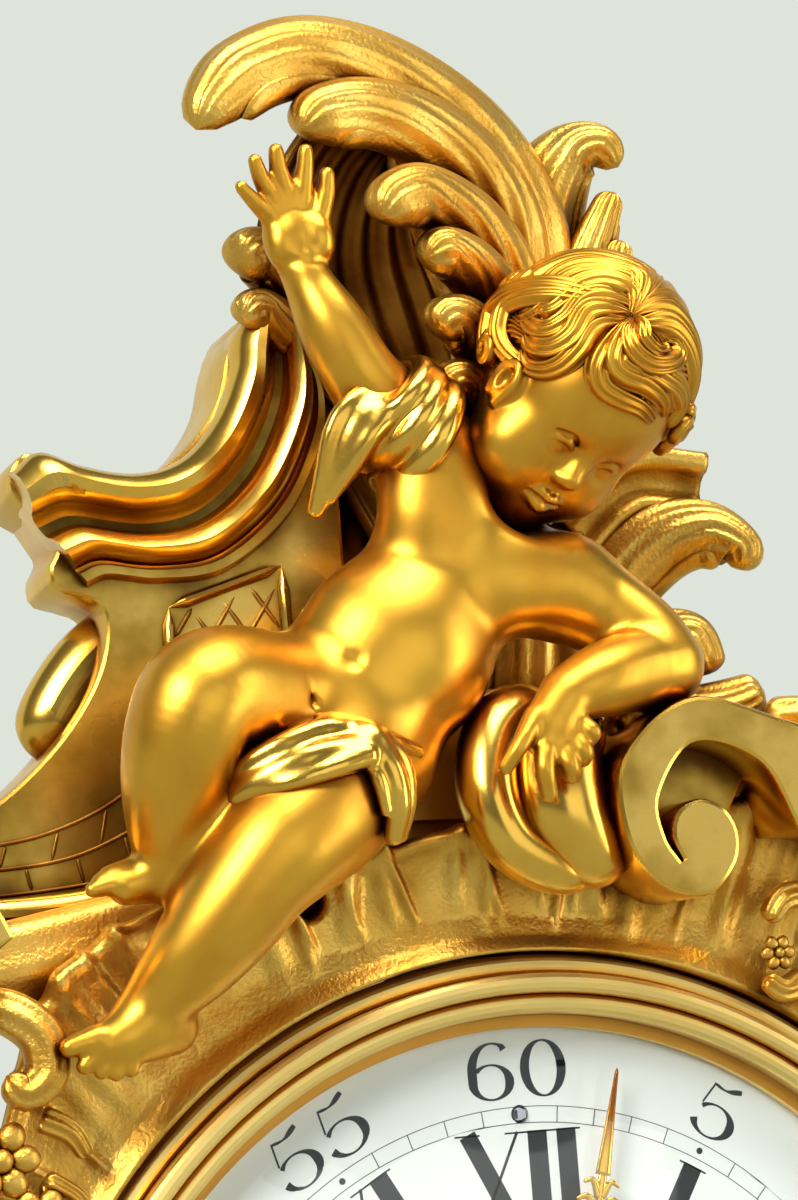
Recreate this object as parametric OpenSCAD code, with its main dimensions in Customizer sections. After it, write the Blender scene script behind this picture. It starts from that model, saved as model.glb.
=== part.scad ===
// Wall cartel clock: a gilt rococo case with a seated cherub, an enamel dial behind a hinged
// glazed bezel, and a striking movement with a half-second pendulum.
// Sizes are in mm. Everything is drawn lying on its back: x to the right, y up the dial, z out
// from the wall, with the dial centre on the z axis. upright() then stands it on the wall plane
// y = 0, facing -y, with the hanging hole at the origin.

/* [Dial and case] */
// Radius of the enamel dial
dial_r = 92.6; // [88:0.2:97]
// Thickness of the dial
dial_t = 2.5; // [2:0.1:3.2]
// Height of the dial's front face over the wall
dial_front = 92; // [91:0.5:96]
// Gap between the dial's edge and the drum
dial_gap = 0.4; // [0.3:0.1:0.8]
// Wall thickness of the case drum
drum_wall = 4; // [3.5:0.1:5]
// Width of the inner ledge that carries the dial
ledge_w = 7; // [6:0.5:8]
// Thickness of that ledge
ledge_t = 3; // [2.5:0.1:3]
// Thickness of the back plate
back_t = 3; // [3:0.1:3.4]
// Radius of the rear door opening
door_hole_r = 61; // [60:0.5:63]
// Radius of the case screws
screw_r = 1.2; // [1:0.1:1.3]

/* [Hanging] */
// Height of the hanging hole over the dial centre
hang_u = 132; // [128:1:138]
// Radius of the hanging hole
hang_r = 4; // [3:0.1:5]

/* [Bezel] */
// How far the bezel reaches past the drum
bezel_over = 3; // [2.5:0.1:3.5]
// Width of the lip that carries the glass
bezel_lip = 2.5; // [2:0.1:3]
// Height of the bezel
bezel_h = 11.2; // [10:0.1:12]
// Thickness of the glass
glass_t = 1.6; // [1.2:0.1:2]
// Rise of the domed glass
glass_rise = 13; // [11:0.5:16]
// Radius of the hinge pins
hinge_pin_r = 0.9; // [0.8:0.05:1]
// Opening angle drawn for the bezel
bezel_angle = 0; // [0:1:100]

/* [Hands] */
// Length of the minute hand
minute_len = 80; // [70:1:81]
// Length of the hour hand
hour_len = 54; // [46:1:58]
// Where the minute hand points, in degrees from the top
minute_at = 13.4; // [0:0.1:360]
// Where the hour hand points, in degrees from the top
hour_at = 301; // [0:0.5:360]
// Thickness of the hands
hand_t = 0.8; // [0.6:0.1:0.9]

/* [Movement] */
// Radius of the two movement plates
plate_r = 58; // [56:0.5:60]
// Thickness of the plates
plate_t = 2.5; // [2.2:0.1:2.8]
// Distance between the plates
plate_span = 37.5; // [37.5:0.1:37.8]
// Gap between the front plate and the dial
motion_gap = 7; // [6.8:0.1:7.4]
// Radius of the pivots
pivot_r = 0.8; // [0.6:0.05:0.9]
// Radial clearance of turning pieces
fit = 0.08; // [0.06:0.01:0.1]
// Tooth size of the barrels
barrel_m = 0.8; // [0.78:0.01:0.82]
// Tooth size of the centre wheel
centre_m = 0.5; // [0.49:0.01:0.51]
// Tooth size of the third wheel and the pin wheel
third_m = 0.45; // [0.44:0.005:0.46]

/* [Pendulum] */
// Length from the bend of the spring to the middle of the bob
pend_len = 248; // [244:1:252]
// Radius of the bob
bob_r = 18; // [15:0.5:20]
// Radius of the rod
rod_r = 1.2; // [1:0.1:1.4]

/* [Pendulum box] */
// Depth of the box
box_depth = 60; // [56:1:64]
// Wall thickness of the box
box_wall = 3; // [2.5:0.1:3.5]
// Thickness of the pierced fret
fret_t = 2.5; // [2:0.1:3]
// Pitch of the fret's lattice
fret_pitch = 13; // [11:0.5:16]

/* [View] */
// Which sub-part is drawn

/* [Hidden] */
gilt = [0.80, 0.60, 0.18];
brass = [0.78, 0.64, 0.30];
steel = [0.62, 0.64, 0.67];
white = [0.92, 0.94, 0.93];
seam = 0.25;
$fn = 64;

drum_in = dial_r + dial_gap;
drum_out = drum_in + drum_wall;
bezel_out = drum_out + bezel_over;
bezel_in = dial_r - 3.6;
bezel_z = dial_front + 0.4;
dial_back = dial_front - dial_t;
// The ornament was laid out for this dial radius and grows with the dial
orn_k = dial_r/92.6;
hinge_x = bezel_out + 3.5;
hinge_z = bezel_z + bezel_h - 2.8;
knuckle_r = hinge_pin_r + 1.3;

fp1 = dial_back - motion_gap;
fp0 = fp1 - plate_t;
rp1 = fp0 - plate_span;
rp0 = rp1 - plate_t;

function polar(r, a) = [r*cos(a), r*sin(a)];
barrel_cd = barrel_m*(60 + 10)/2;
going_p = polar(barrel_cd, 205);
strike_p = polar(barrel_cd, -25);
third_p = polar(centre_m*(80 + 8)/2, 125);
train_cd = third_m*(80 + 8)/2;
escape_a = acos(-third_p.x/train_cd);
escape_p = third_p + polar(train_cd, escape_a);
pin_p = strike_p + polar(barrel_cd, 75);
fly_p = pin_p + polar(train_cd, 130);
anchor_p = [0, escape_p.y + 15];
motion_cd = 18;
motion_m1 = 2*motion_cd/(12 + 36);
motion_m2 = 2*motion_cd/(10 + 40);
minute_p = polar(motion_cd, 150);
regulator_p = [0, dial_r*0.763];
hammer_p = [38, -20];
bell_p = [-14, 0];
winding_r = 2.8;
cannon_r = 2.6;
hour_pipe_r = 3.9;
centre_r = 2;
rod_z = rp0 - 6.4;
bob_y = anchor_p.y - pend_len;

// Stands the flat drawing upright on the wall
module upright() { translate([0, 0, -hang_u]) rotate([90, 0, 0]) children(); }

// A solid between two heights
module slab(z0, z1) { translate([0, 0, z0]) linear_extrude(z1 - z0) children(); }
module rod(p, r, z0, z1) { translate([p.x, p.y, z0]) cylinder(r = r, h = z1 - z0); }

// Outline of a gear: four points a tooth, root to tip and back, slim enough to run with play
function gear_outline(n, m, add, ded, wr, wt, at) = [
    for (i = [0:n - 1]) for (k = [0:3])
        let(r = n*m/2 + (k == 0 || k == 3 ? -ded*m : add*m), w = [-wr, -wt, wt, wr][k])
        polar(r, at + (i + w)*360/n)];
module wheel_2d(n, m, at) { polygon(gear_outline(n, m, 0.75, 1.05, 0.27, 0.08, at)); }
module pinion_2d(n, m, at) { polygon(gear_outline(n, m, 0.60, 1.10, 0.18, 0.08, at)); }
// A wheel with round windows between its rim and hub
module crossed_wheel(n, m, at, windows, window_r, window_at) {
    difference() {
        wheel_2d(n, m, at);
        for (i = [0:windows - 1]) translate(polar(window_at, i*360/windows)) circle(window_r);
    }
}
module arbor(p, r) {
    rod(p, pivot_r, rp0 + 0.3, fp1 - 0.3);
    rod(p, r, rp1 + 0.4, fp0 - 0.4);
}

// A smooth line through points
function spline(p, n) = [for (i = [0:len(p) - 2]) for (s = [0:n - 1])
    let(t = s/n, a = p[max(i - 1, 0)], b = p[i], c = p[i + 1], d = p[min(i + 2, len(p) - 1)])
    0.5*(2*b + (c - a)*t + (2*a - 5*b + 4*c - d)*t*t + (3*b - a - 3*c + d)*t*t*t),
    p[len(p) - 1]];
// A closed smooth line through points
function loop(p, n) = [for (i = [0:len(p) - 1]) for (s = [0:n - 1])
    let(m = len(p), t = s/n, a = p[(i + m - 1)%m], b = p[i], c = p[(i + 1)%m], d = p[(i + 2)%m])
    0.5*(2*b + (c - a)*t + (2*a - 5*b + 4*c - d)*t*t + (3*b - a - 3*c + d)*t*t*t)];
// A band of changing width along a line, as one outline
function side(p, w, s) = [for (i = [0:len(p) - 1])
    let(t = p[min(i + 1, len(p) - 1)] - p[max(i - 1, 0)], n = [-t.y, t.x]/norm(t))
    p[i] + s*w[i]*n];
function turned(p) = [for (i = [len(p) - 1:-1:0]) p[i]];
module band(p, w) { polygon(concat(side(p, w, 0.5), turned(side(p, w, -0.5)))); }
function ramp(n, a, b, c) = [for (i = [0:n - 1])
    let(t = 2*i/(n - 1)) t < 1 ? a + (b - a)*t : b + (c - b)*(t - 1)];

// A row of rounded pieces through points, each with its own radius
module limb(p, r, grow = 0, facets = 10) {
    for (i = [0:len(p) - 2]) hull() {
        translate(p[i]) sphere(r[i] + grow, $fn = facets);
        translate(p[i + 1]) sphere(r[i + 1] + grow, $fn = facets);
    }
}
// The ornament's own frame: heights count from the dial's front
module ornament() { translate([0, 0, dial_front]) scale(orn_k) children(); }

// Case outline below the drum, from inside the drum down to clear of the bob and its nut
box_top = -0.68*drum_out;
box_low = bob_y - bob_r - 18.3;
box_front = back_t + box_depth;
function box_u(t) = box_top + t*(box_low - box_top);
box_line = [[-66, box_top], [66, box_top], [60, box_u(0.32)], [47, box_u(0.67)], [37, box_low],
    [-37, box_low], [-47, box_u(0.67)], [-60, box_u(0.32)]];
module box_2d() { polygon(box_line); }

module back_plate_2d() {
    circle(drum_out, $fn = 96);
    translate([-24, 70]) square([66, 88]);
    box_2d();
}
screw_at = [20, 70, 128, 205, 232, 308, 335];

module back_plate() {
    color(brass) difference() {
        union() {
            slab(0, back_t) difference() {
                back_plate_2d();
                circle(door_hole_r, $fn = 96);
                translate([-door_hole_r - 6.5, -15.5]) square([10, 31]);
                translate([0, hang_u]) circle(hang_r);
            }
            // Two knuckles and their leaves carry the rear door
            for (s = [-1, 1]) translate([-door_hole_r - 3.5, 10.2*s, 2.2]) {
                rotate([90, 0, 0]) cylinder(r = 1.8, h = 9.6, center = true);
                translate([-3.5, 0, -0.9]) cube([5, 9.6, 1.6], center = true);
            }
        }
        translate([-door_hole_r - 3.5, 0, 2.2]) rotate([90, 0, 0])
            cylinder(r = hinge_pin_r, h = 40, center = true);
        for (a = screw_at) translate(concat(polar(drum_in + drum_wall/2, a), -1)) {
            cylinder(r = screw_r, h = 10);
            cylinder(r = screw_r + 1.3, h = 2.5);
        }
    }
}

module case_drum() {
    color(gilt) difference() {
        union() {
            rotate_extrude($fn = 128) polygon([[drum_in, back_t], [drum_out, back_t],
                [drum_out, dial_front], [drum_in, dial_front], [drum_in, dial_back],
                [drum_in - ledge_w, dial_back], [drum_in - ledge_w, dial_back - ledge_t],
                [drum_in, dial_back - ledge_t]]);
            // Saddle on top of the drum that carries the figure and the crest
            difference() {
                translate([-20, 0, back_t]) cube([58, 152, dial_front - 13 - back_t]);
                translate([-16, 0, -1]) cube([50, 148, dial_front - 17 + 1]);
                cylinder(r = drum_in, h = 300, center = true, $fn = 128);
            }
            slab(dial_front - 13.5, dial_front - 7.4) translate([-20, 127*orn_k]) square([40, 22]);
            // Hinge posts for the bezel
            for (s = [-1, 1]) translate([hinge_x, 9.1*s, hinge_z]) {
                rotate([90, 0, 0]) cylinder(r = knuckle_r, h = 7.8, center = true);
                translate([-knuckle_r + 0.2, -3.9, dial_front - 12 - hinge_z])
                    cube([2*knuckle_r - 0.4, 7.8, hinge_z - dial_front + 12]);
                translate([-10, -3.9, dial_front - 12 - hinge_z]) cube([11, 7.8, 8]);
            }
        }
        translate([hinge_x, 0, hinge_z]) rotate([90, 0, 0])
            cylinder(r = hinge_pin_r, h = 40, center = true);
        // Way through to the pendulum box
        translate([-34, -drum_out - 5, 20]) cube([68, 30, rp0 - 8]);
        for (a = screw_at) translate(concat(polar(drum_in + drum_wall/2, a), 0))
            cylinder(r = screw_r, h = 12);
    }
}

module case_screws() {
    color(steel) for (a = screw_at) translate(concat(polar(drum_in + drum_wall/2, a), 0.2)) {
        cylinder(r = screw_r, h = 11);
        cylinder(r = screw_r + 1.2, h = 1.3);
    }
}

module pendulum_box() {
    color(gilt) difference() {
        slab(back_t, box_front) difference() {
            box_2d();
            offset(delta = -box_wall) box_2d();
        }
        cylinder(r = drum_out + 0.3, h = 300, center = true, $fn = 128);
    }
}

module sound_fret() {
    z = box_front;
    color(gilt) difference() {
        slab(z, z + fret_t) box_2d();
        cylinder(r = drum_out + 0.3, h = 300, center = true, $fn = 128);
        // Lozenge piercings in staggered rows
        for (r = [0:16]) for (c = [-3:3])
            let(p = [(c + (r%2)/2)*fret_pitch, -drum_out - 23 - r*fret_pitch/2])
            if (abs(p.x) + fret_pitch/2 < 53 + (p.y - box_top)*0.166 && p.y > box_low + 14)
                translate([p.x, p.y, z - 1]) rotate(45)
                    linear_extrude(fret_t + 2) square(fret_pitch/sqrt(2) - 2.2, center = true);
    }
}

module fret_silk() {
    z = box_front;
    color([0.45, 0.10, 0.12]) difference() {
        slab(z - 0.6, z - 0.1) offset(delta = -box_wall - 0.3) box_2d();
        cylinder(r = drum_out + 0.8, h = 300, center = true, $fn = 128);
    }
}

// Two scrolls that frame the fret
module apron_scrolls() {
    z = box_front + fret_t;
    line = spline([[58, box_u(0.15)], [61, box_u(0.31)], [53, box_u(0.49)], [50, box_u(0.69)],
        [40, box_u(0.87)], [24, box_u(0.96)], [12, box_u(0.94)], [10, box_u(0.88)],
        [17, box_u(0.85)]], 6);
    color(gilt) for (s = [-1, 1]) scale([s, 1, 1]) {
        slab(z + 0.1, z + 11) difference() {
            band(line, ramp(len(line), 15, 10, 6));
            circle(drum_out + 4, $fn = 96);
        }
    }
}

// Acanthus drop under the box, placed from the box's lower front edge
module apron_leaf() {
    color(gilt) difference() {
        translate([0, box_low, box_front]) {
            limb([[0, 10, -21], [0, -14, -15], [0, -44, -17], [0, -70, -25], [2, -86, -31]],
                [15, 17, 14, 10, 6]);
            for (s = [-1, 1]) {
                limb([[6*s, -4, -15], [24*s, -12, -11], [36*s, -4, -7]], [11, 9, 7]);
                limb([[6*s, -26, -13], [22*s, -38, -9], [30*s, -32, -6]], [10, 8, 6]);
                limb([[4*s, -48, -17], [15*s, -62, -13], [21*s, -57, -10]], [8, 6, 4.5]);
            }
        }
        linear_extrude(box_front + fret_t + 11.4) offset(delta = seam) box_2d();
        translate([-100, box_low - 100, -100]) cube([200, 200, 100 + box_front - 51]);
    }
}

// Fluted shell border round the bezel
border_n = 64;
function border_r(a) = 123 + 3*sin(3*a + 40) + 2.2*sin(7*a) + 1.2*cos(16*a);
function border_in(a) = (a < 9.5 || a > 350.5) ? hinge_x + knuckle_r + 3.6 : bezel_out + 0.6;
function border_ring(a) = let(q = orn_k*border_r(a), i = border_in(a), k = max(drum_out + 0.4,
        i > bezel_out + 1 ? i : 0), f = 1.3*cos(16*a))
    [[k, -12], [k, -0.6], [i, -0.2], [i, 1.2], [i + 3, 1.1 + f/3], [(i + q)/2, 4 + f], [q - 3, 8.6 + f],
    [q, 10.2 + f], [q + 1, 8.4 + f], [q - 3, 0], [(i + q)/2, -8], [k + 2, -12]];
module rocaille_surround() {
    m = len(border_ring(0));
    color(gilt) translate([0, 0, dial_front]) polyhedron(
        points = [for (j = [0:border_n - 1]) for (p = border_ring(j*360/border_n))
            [p.x*cos(j*360/border_n), p.x*sin(j*360/border_n), p.y]],
        faces = [for (j = [0:border_n - 1]) for (i = [0:m - 1]) for (t = [0, 1])
            let(a = j*m + i, b = j*m + (i + 1)%m, c = ((j + 1)%border_n)*m + i,
                d = ((j + 1)%border_n)*m + (i + 1)%m)
            t == 0 ? [a, b, d] : [a, d, c]]);
}

// Asymmetric framed panel at the left of the figure
panel_line = [[-86, 196], [-82, 200], [-74, 197], [-62, 194.5], [-52, 200], [-45, 209], [-42, 219],
    [-38, 226], [-31, 225], [-26, 214], [-22, 196], [-21.5, 178], [-21.5, 158], [-21.5, 140],
    [-34, 129.5], [-50, 130], [-72, 124], [-98, 118], [-118, 118], [-121, 123], [-116, 128],
    [-104, 130], [-93, 134], [-82, 143], [-74, 154], [-70, 164], [-71, 172], [-76, 178],
    [-81, 185], [-85, 190]];
module left_cartouche() {
    line = loop(panel_line, 3);
    color(gilt) ornament() {
        slab(-34, -12) polygon(line);
        slab(-12, -8) difference() {
            polygon(line);
            offset(delta = -7) polygon(line);
        }
        // Lattice bars on the sunk panel
        slab(-12, -10.6) intersection() {
            offset(delta = -8.5) polygon(line);
            for (i = [-6:6]) for (s = [-1, 1])
                translate([-48 + i*9, 165]) rotate(45*s) square([1.6, 120], center = true);
        }
    }
}

module crest_leaf_form(grow = 0) {
    limb([[8, 158, -26], [12, 182, -24], [16, 206, -20], [22, 226, -18], [21, 244, -16],
        [13, 259, -12], [-6, 272, -4], [-28, 275, 5], [-44, 268, 11], [-51, 258, 14]],
        [8, 9, 10, 10, 9, 8.5, 7.5, 6.5, 5.8, 5], grow, 10);
    limb([[14, 256, -12], [-8, 262, 2], [-27, 258, 12]], [9, 7.5, 5.5], grow, 10);
    limb([[18, 242, -12], [3, 248, 2], [-12, 243, 10]], [9, 7, 5.2], grow, 10);
    limb([[20, 232, -12], [6, 235, 0], [-5, 230, 8]], [9, 7, 4.8], grow, 10);
    limb([[16, 216, -14], [4, 220, -2], [-3, 218, 3]], [9, 6.5, 4.6], grow, 10);
    limb([[2, 184, -26], [-14, 206, -20], [-30, 232, -16], [-26, 250, -12], [-8, 262, -8]],
        [8, 9, 8, 8, 8], grow, 10);
    limb([[-24, 216, -18], [-40, 228, -10], [-45, 234, -6]], [8, 6.5, 4.5], grow, 10);
}
module crest_leaf() {
    color(gilt) ornament() difference() {
        crest_leaf_form();
        translate([0, 0, -34 - seam]) linear_extrude(26 + 2*seam)
            offset(delta = seam) polygon(loop(panel_line, 3));
        saddle_cut();
        raised_arm_form(seam);
        torso_form(seam);
        head_form(seam);
    }
}
module crest_side_leaf() {
    color(gilt) ornament() difference() {
        union() {
            limb([[20, 206, -22], [26, 226, -22], [25, 244, -21], [30, 257, -18], [38, 254, -14],
                [38, 248, -11]], [7, 8, 7, 6, 4.5, 3.5]);
            limb([[27, 230, -20], [36, 240, -15], [41, 237, -11]], [7, 5, 4]);
            limb([[28, 222, -20], [38, 228, -16], [43, 222, -12]], [7, 5, 4]);
        }
        crest_leaf_form(seam);
        head_form(seam);
    }
}
module right_wing() {
    color(gilt) ornament() difference() {
        union() {
            limb([[30, 152, -26], [34, 168, -22], [44, 182, -18], [54, 186, -14], [60, 178, -9]],
                [9, 10, 8.5, 6.5, 4.5]);
            limb([[32, 168, -22], [40, 188, -20], [52, 198, -20], [60, 196, -18]], [9, 8, 6.5, 5]);
            limb([[36, 150, -26], [48, 160, -20], [54, 156, -14], [50, 150, -10]], [9, 7, 5.5, 4]);
            limb([[36, 146, -20], [52, 144, -10], [62, 148, -4]], [8, 7, 5]);
        }
        saddle_cut();
        crest_leaf_form(seam);
        torso_form(seam);
        head_form(seam);
        resting_arm_form(seam);
        scroll_cut();
    }
}
// Room for the saddle, used by the pieces that sit on it
module saddle_cut() {
    translate([0, 0, -dial_front/orn_k]) scale(1/orn_k) {
        translate([-20 - seam, 90, 0]) cube([58 + 2*seam, 62 + seam, dial_front - 13 + seam]);
        translate([-20 - seam, 127*orn_k - seam, 0])
            cube([40 + 2*seam, 22 + 2*seam, dial_front - 7.4 + seam]);
    }
}

// Flat scrolls: the right one starts in the volute under the figure's arm
scroll_z0 = 12.2;
scroll_z1 = 26;
right_line = spline([[29, 131], [40, 135], [54, 131], [72, 121], [93, 106], [112, 84], [126, 52],
    [131, 14], [129, -30], [118, -68], [102, -97], [92, -108]], 6);
left_line = spline([[-100, 112], [-108, 106], [-118, 90], [-129, 56], [-133, 16], [-130, -32], [-119, -70],
    [-104, -98], [-94, -108]], 6);
// Discs at the ends: place and radius
right_discs = [[30, 118, 19.5], [86, -98, 16]];
left_discs = [[-88, -98, 16]];
module scroll_cut() {
    translate([0, 0, scroll_z0 - seam]) linear_extrude(scroll_z1 - scroll_z0 + 2*seam)
        offset(delta = seam) {
            band(right_line, ramp(len(right_line), 13, 18, 14));
            for (c = right_discs) translate([c.x, c.y]) circle(c[2]);
        }
}
module right_c_scroll() {
    color(gilt) ornament() {
        slab(scroll_z0, scroll_z1) band(right_line, ramp(len(right_line), 13, 18, 14));
        for (c = right_discs) rod(c, c[2], scroll_z0, scroll_z1);
    }
}
module left_c_scroll() {
    color(gilt) ornament() {
        slab(scroll_z0, scroll_z1) band(left_line, ramp(len(left_line), 10, 18, 14));
        for (c = left_discs) rod(c, c[2], scroll_z0, scroll_z1);
    }
}

module bolster_form(grow = 0) {
    limb([[-14, 131, 2], [-2, 127, 8], [10, 129, 10], [16, 140, 8], [24, 150, 2]],
        [9, 10, 10, 9, 8], grow, 10);
    limb([[-4, 138, 4], [8, 140, 6], [18, 146, 2]], [9, 10, 9], grow, 10);
    limb([[4, 122, 6], [16, 124, 8], [30, 132, 4], [44, 138, -2]], [7, 8, 8, 7], grow, 10);
}
module scroll_bolster() {
    color(gilt) ornament() difference() {
        bolster_form();
        saddle_cut();
        torso_form(seam);
        resting_arm_form(seam);
        long_leg_form(seam);
        scroll_cut();
        surround_cut();
        right_wing_room();
    }
}
module surround_cut() {
    translate([0, 0, -20]) cylinder(r = 121, h = 31.6 + 0.4);
}
// Room kept free for the wing's lowest leaf
module right_wing_room() {
    limb([[36, 146, -20], [52, 144, -10], [62, 148, -4]], [8, 7, 5], seam);
    limb([[30, 152, -26], [34, 168, -22]], [9, 10], seam);
    limb([[36, 150, -26], [48, 160, -20]], [9, 7], seam);
}

// Rosettes and leaves that lie on the border
module rosette(p, r) {
    translate(p) rotate(p.x) {
        for (a = [0:72:288]) rotate(a) hull() {
            translate([r*0.62, 0, 1.2]) sphere(r*0.4, $fn = 8);
            translate([r*0.2, 0.3, 0.6]) sphere(r*0.3, $fn = 8);
        }
        translate([0.1, 0.2, 2.1]) rotate(10) sphere(r*0.5, $fn = 9);
    }
}
module flower_sprays() {
    color(gilt) ornament() difference() {
        union() {
            rosette([-93, 64, 16], 9.5);
            rosette([-107, 40, 16], 9);
            limb([[-92, 84, 17], [-94, 63, 15.7], [-107.5, 39, 15.6], [-112, 8, 15.5], [-109, -22, 17]],
                [4.5, 3.6, 3.1, 3, 4], 0, 8);
            rosette([70, 142, 6], 8.5);
            limb([[57, 147, -2], [69, 142, 4], [80, 134, 6]], [4, 3.4, 3], 0, 8);
        }
        right_wing_room();
        scroll_cut();
    }
}

// The figure
module torso_form(grow = 0) {
    hull() {
        translate([-8, 192, 6]) sphere(8.5 + grow, $fn = 12);
        translate([13, 170, 8]) sphere(8.5 + grow, $fn = 12);
        translate([-2, 176, 9]) sphere(13 + grow, $fn = 12);
    }
    limb([[-2, 176, 8], [-13, 166, 10], [-23, 157, 10], [-36, 143, 8]], [13.5, 15, 16.5, 15], grow, 12);
    limb([[0, 184, 9], [6, 192, 13], [10, 197, 15]], [8, 7, 7], grow, 11);
    limb([[-36, 143, 8], [-46, 147, 10]], [14, 12.5], grow, 12);
    limb([[-36, 143, 8], [-34, 134, 11]], [14, 12.5], grow, 12);
    limb([[-20, 148, 4], [-36, 140, 4]], [14, 14], grow, 12);
}
module putto_body() {
    color(gilt) ornament() difference() {
        torso_form();
        saddle_cut();
        translate([0, 0, -34 - seam]) linear_extrude(26 + 2*seam)
            offset(delta = seam) polygon(loop(panel_line, 3));
    }
}
module head_form(grow = 0) {
    limb([[19, 208, 16], [24, 213, 14]], [18.5, 17], grow, 16);
    limb([[17, 203, 19], [12, 193, 23], [8, 185, 24]], [16, 12, 7.5], grow, 12);
    limb([[14, 196, 24], [22, 193, 26]], [11, 9], grow, 12);
    limb([[13, 200, 33], [10.5, 192, 37]], [3, 2.6], grow, 8);
    limb([[0, 206, 14], [1, 200, 14]], [4, 3], grow, 8);
    limb([[8, 181, 28], [10, 183, 30]], [4, 4], grow, 8);
    limb([[2, 216, 18], [10, 226, 14], [24, 229, 12], [36, 221, 10]], [5, 6, 6, 5.5], grow, 8);
}
module putto_head() {
    color(gilt) ornament() difference() {
        head_form();
        torso_form(seam);
        resting_arm_form(seam);
    }
}
module raised_arm_form(grow = 0) {
    limb([[-10, 195, 8], [-18, 202, 10], [-24, 209, 12], [-28, 218, 12], [-34, 229, 12],
        [-35.5, 237, 12]], [8.2, 7.6, 6.8, 6.8, 4.8, 5.6], grow, 11);
    limb([[-38, 238, 12], [-45.5, 243, 14]], [3, 1.7], grow, 8);
    limb([[-37, 240, 12], [-42.5, 248, 14]], [3, 1.7], grow, 8);
    limb([[-35.5, 241, 12], [-38, 250.5, 14]], [3, 1.8], grow, 8);
    limb([[-34, 241, 12], [-32, 251, 14]], [3, 1.8], grow, 8);
    limb([[-32, 236, 13], [-28.5, 246, 15]], [3, 1.9], grow, 8);
}
module putto_raised_arm() {
    color(gilt) ornament() difference() {
        raised_arm_form();
        torso_form(seam);
    }
}
module resting_arm_form(grow = 0) {
    limb([[14, 168, 10], [22, 160, 14], [29, 153.5, 18], [17, 149, 24], [5, 145.5, 27.5], [0.5, 138, 29]],
        [8.2, 7.4, 6.6, 6, 4.6, 4.6], grow, 11);
    limb([[-1, 137, 29], [-8.5, 131.5, 29]], [2.8, 1.8], grow, 8);
    limb([[0, 136, 30], [-4, 127.5, 30.5]], [2.8, 1.9], grow, 8);
    limb([[1, 136, 30.5], [1.5, 129, 31]], [2.8, 1.9], grow, 8);
    limb([[2, 137, 30], [6, 132, 30]], [2.8, 1.9], grow, 8);
}
module putto_resting_arm() {
    color(gilt) ornament() difference() {
        resting_arm_form();
        torso_form(seam);
        scroll_cut();
    }
}
module bent_leg_form(grow = 0) {
    limb([[-49, 148, 14], [-57, 149, 20], [-66, 146.5, 26], [-68, 138, 24], [-68.5, 131, 20],
        [-68.5, 121, 15], [-66, 117, 14]], [12.5, 12, 11, 9, 8.6, 5.8, 5], grow, 11);
    limb([[-64, 116, 14], [-76, 115.5, 16], [-82, 115, 17]], [5, 4.2, 3], grow, 9);
    limb([[-77, 117, 17], [-84, 117.5, 18]], [2.6, 1.8], grow, 8);
}
module putto_bent_leg() {
    color(gilt) ornament() difference() {
        bent_leg_form();
        torso_form(seam);
        translate([0, 0, -34 - seam]) linear_extrude(26 + 2*seam)
            offset(delta = seam) polygon(loop(panel_line, 3));
        surround_cut();
    }
}
module long_leg_form(grow = 0) {
    limb([[-38, 131, 16], [-42, 128, 20], [-53, 118, 25], [-58, 112, 25], [-63.5, 106.5, 24],
        [-74, 94, 20], [-75, 90, 19.5]], [12.5, 12, 10, 8.8, 8.4, 5.4, 4.8], grow, 11);
    limb([[-72, 90.5, 18.5], [-82, 87.5, 20], [-88, 88, 21]], [4.8, 4.2, 2.8], grow, 9);
    limb([[-82, 86, 21], [-80.5, 83, 23]], [3, 2], grow, 8);
    limb([[-84, 86, 21], [-86, 84, 22.5]], [3, 1.8], grow, 8);
}
module putto_long_leg() {
    color(gilt) ornament() difference() {
        long_leg_form();
        torso_form(seam);
        bent_leg_form(seam);
        surround_cut();
    }
}
module putto_drapery() {
    color(gilt) ornament() difference() {
        union() {
            limb([[-58, 136, 14], [-50, 129, 23], [-38, 129, 27], [-29, 134, 27], [-22, 139, 23]],
                [6, 9, 10, 9.5, 6], 0, 10);
            limb([[-24, 137, 23], [-22, 128, 24], [-19, 119, 21], [-20, 114, 19]], [5, 4.5, 4, 3], 0, 10);
            limb([[-18, 201, 10], [-27, 196, 13], [-33, 187, 13], [-36, 180, 12]], [9.6, 6, 4.5, 3], 0, 10);
            limb([[-12, 196, 8], [-19, 203, 10]], [9.8, 9.4], 0, 10);
        }
        torso_form(seam);
        bent_leg_form(seam);
        long_leg_form(seam);
        raised_arm_form(seam);
        surround_cut();
        translate([0, 0, -34 - seam]) linear_extrude(26 + 2*seam)
            offset(delta = seam) polygon(loop(panel_line, 3));
    }
}

// Dial and what shows on it
eyelet_r = winding_r + 1;
module dial() {
    color(white) difference() {
        slab(dial_back, dial_front) circle(dial_r, $fn = 128);
        rod([0, 0], hour_pipe_r + 1.5, 0, 200);
        for (p = [going_p, strike_p]) rod(p, eyelet_r + 0.8, 0, 200);
        rod(regulator_p, 1.7, 0, 200);
    }
}
module winding_eyelets() {
    color(brass) for (p = [going_p, strike_p]) difference() {
        union() {
            rod(p, eyelet_r + 0.8, dial_back, dial_front);
            rod(p, eyelet_r + 1.8, dial_front, dial_front + 0.6);
        }
        rod(p, eyelet_r, 0, 200);
    }
}
module movement_straps() {
    color(brass) for (a = [30, 150, 270]) rotate(a) {
        translate([plate_r - 6, -4, fp1]) cube([drum_in - plate_r + 5, 8, 2]);
        translate([drum_in - ledge_w + 0.6, -4, fp1]) cube([ledge_w - 1.6, 8, dial_back - ledge_t - fp1]);
    }
}

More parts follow.
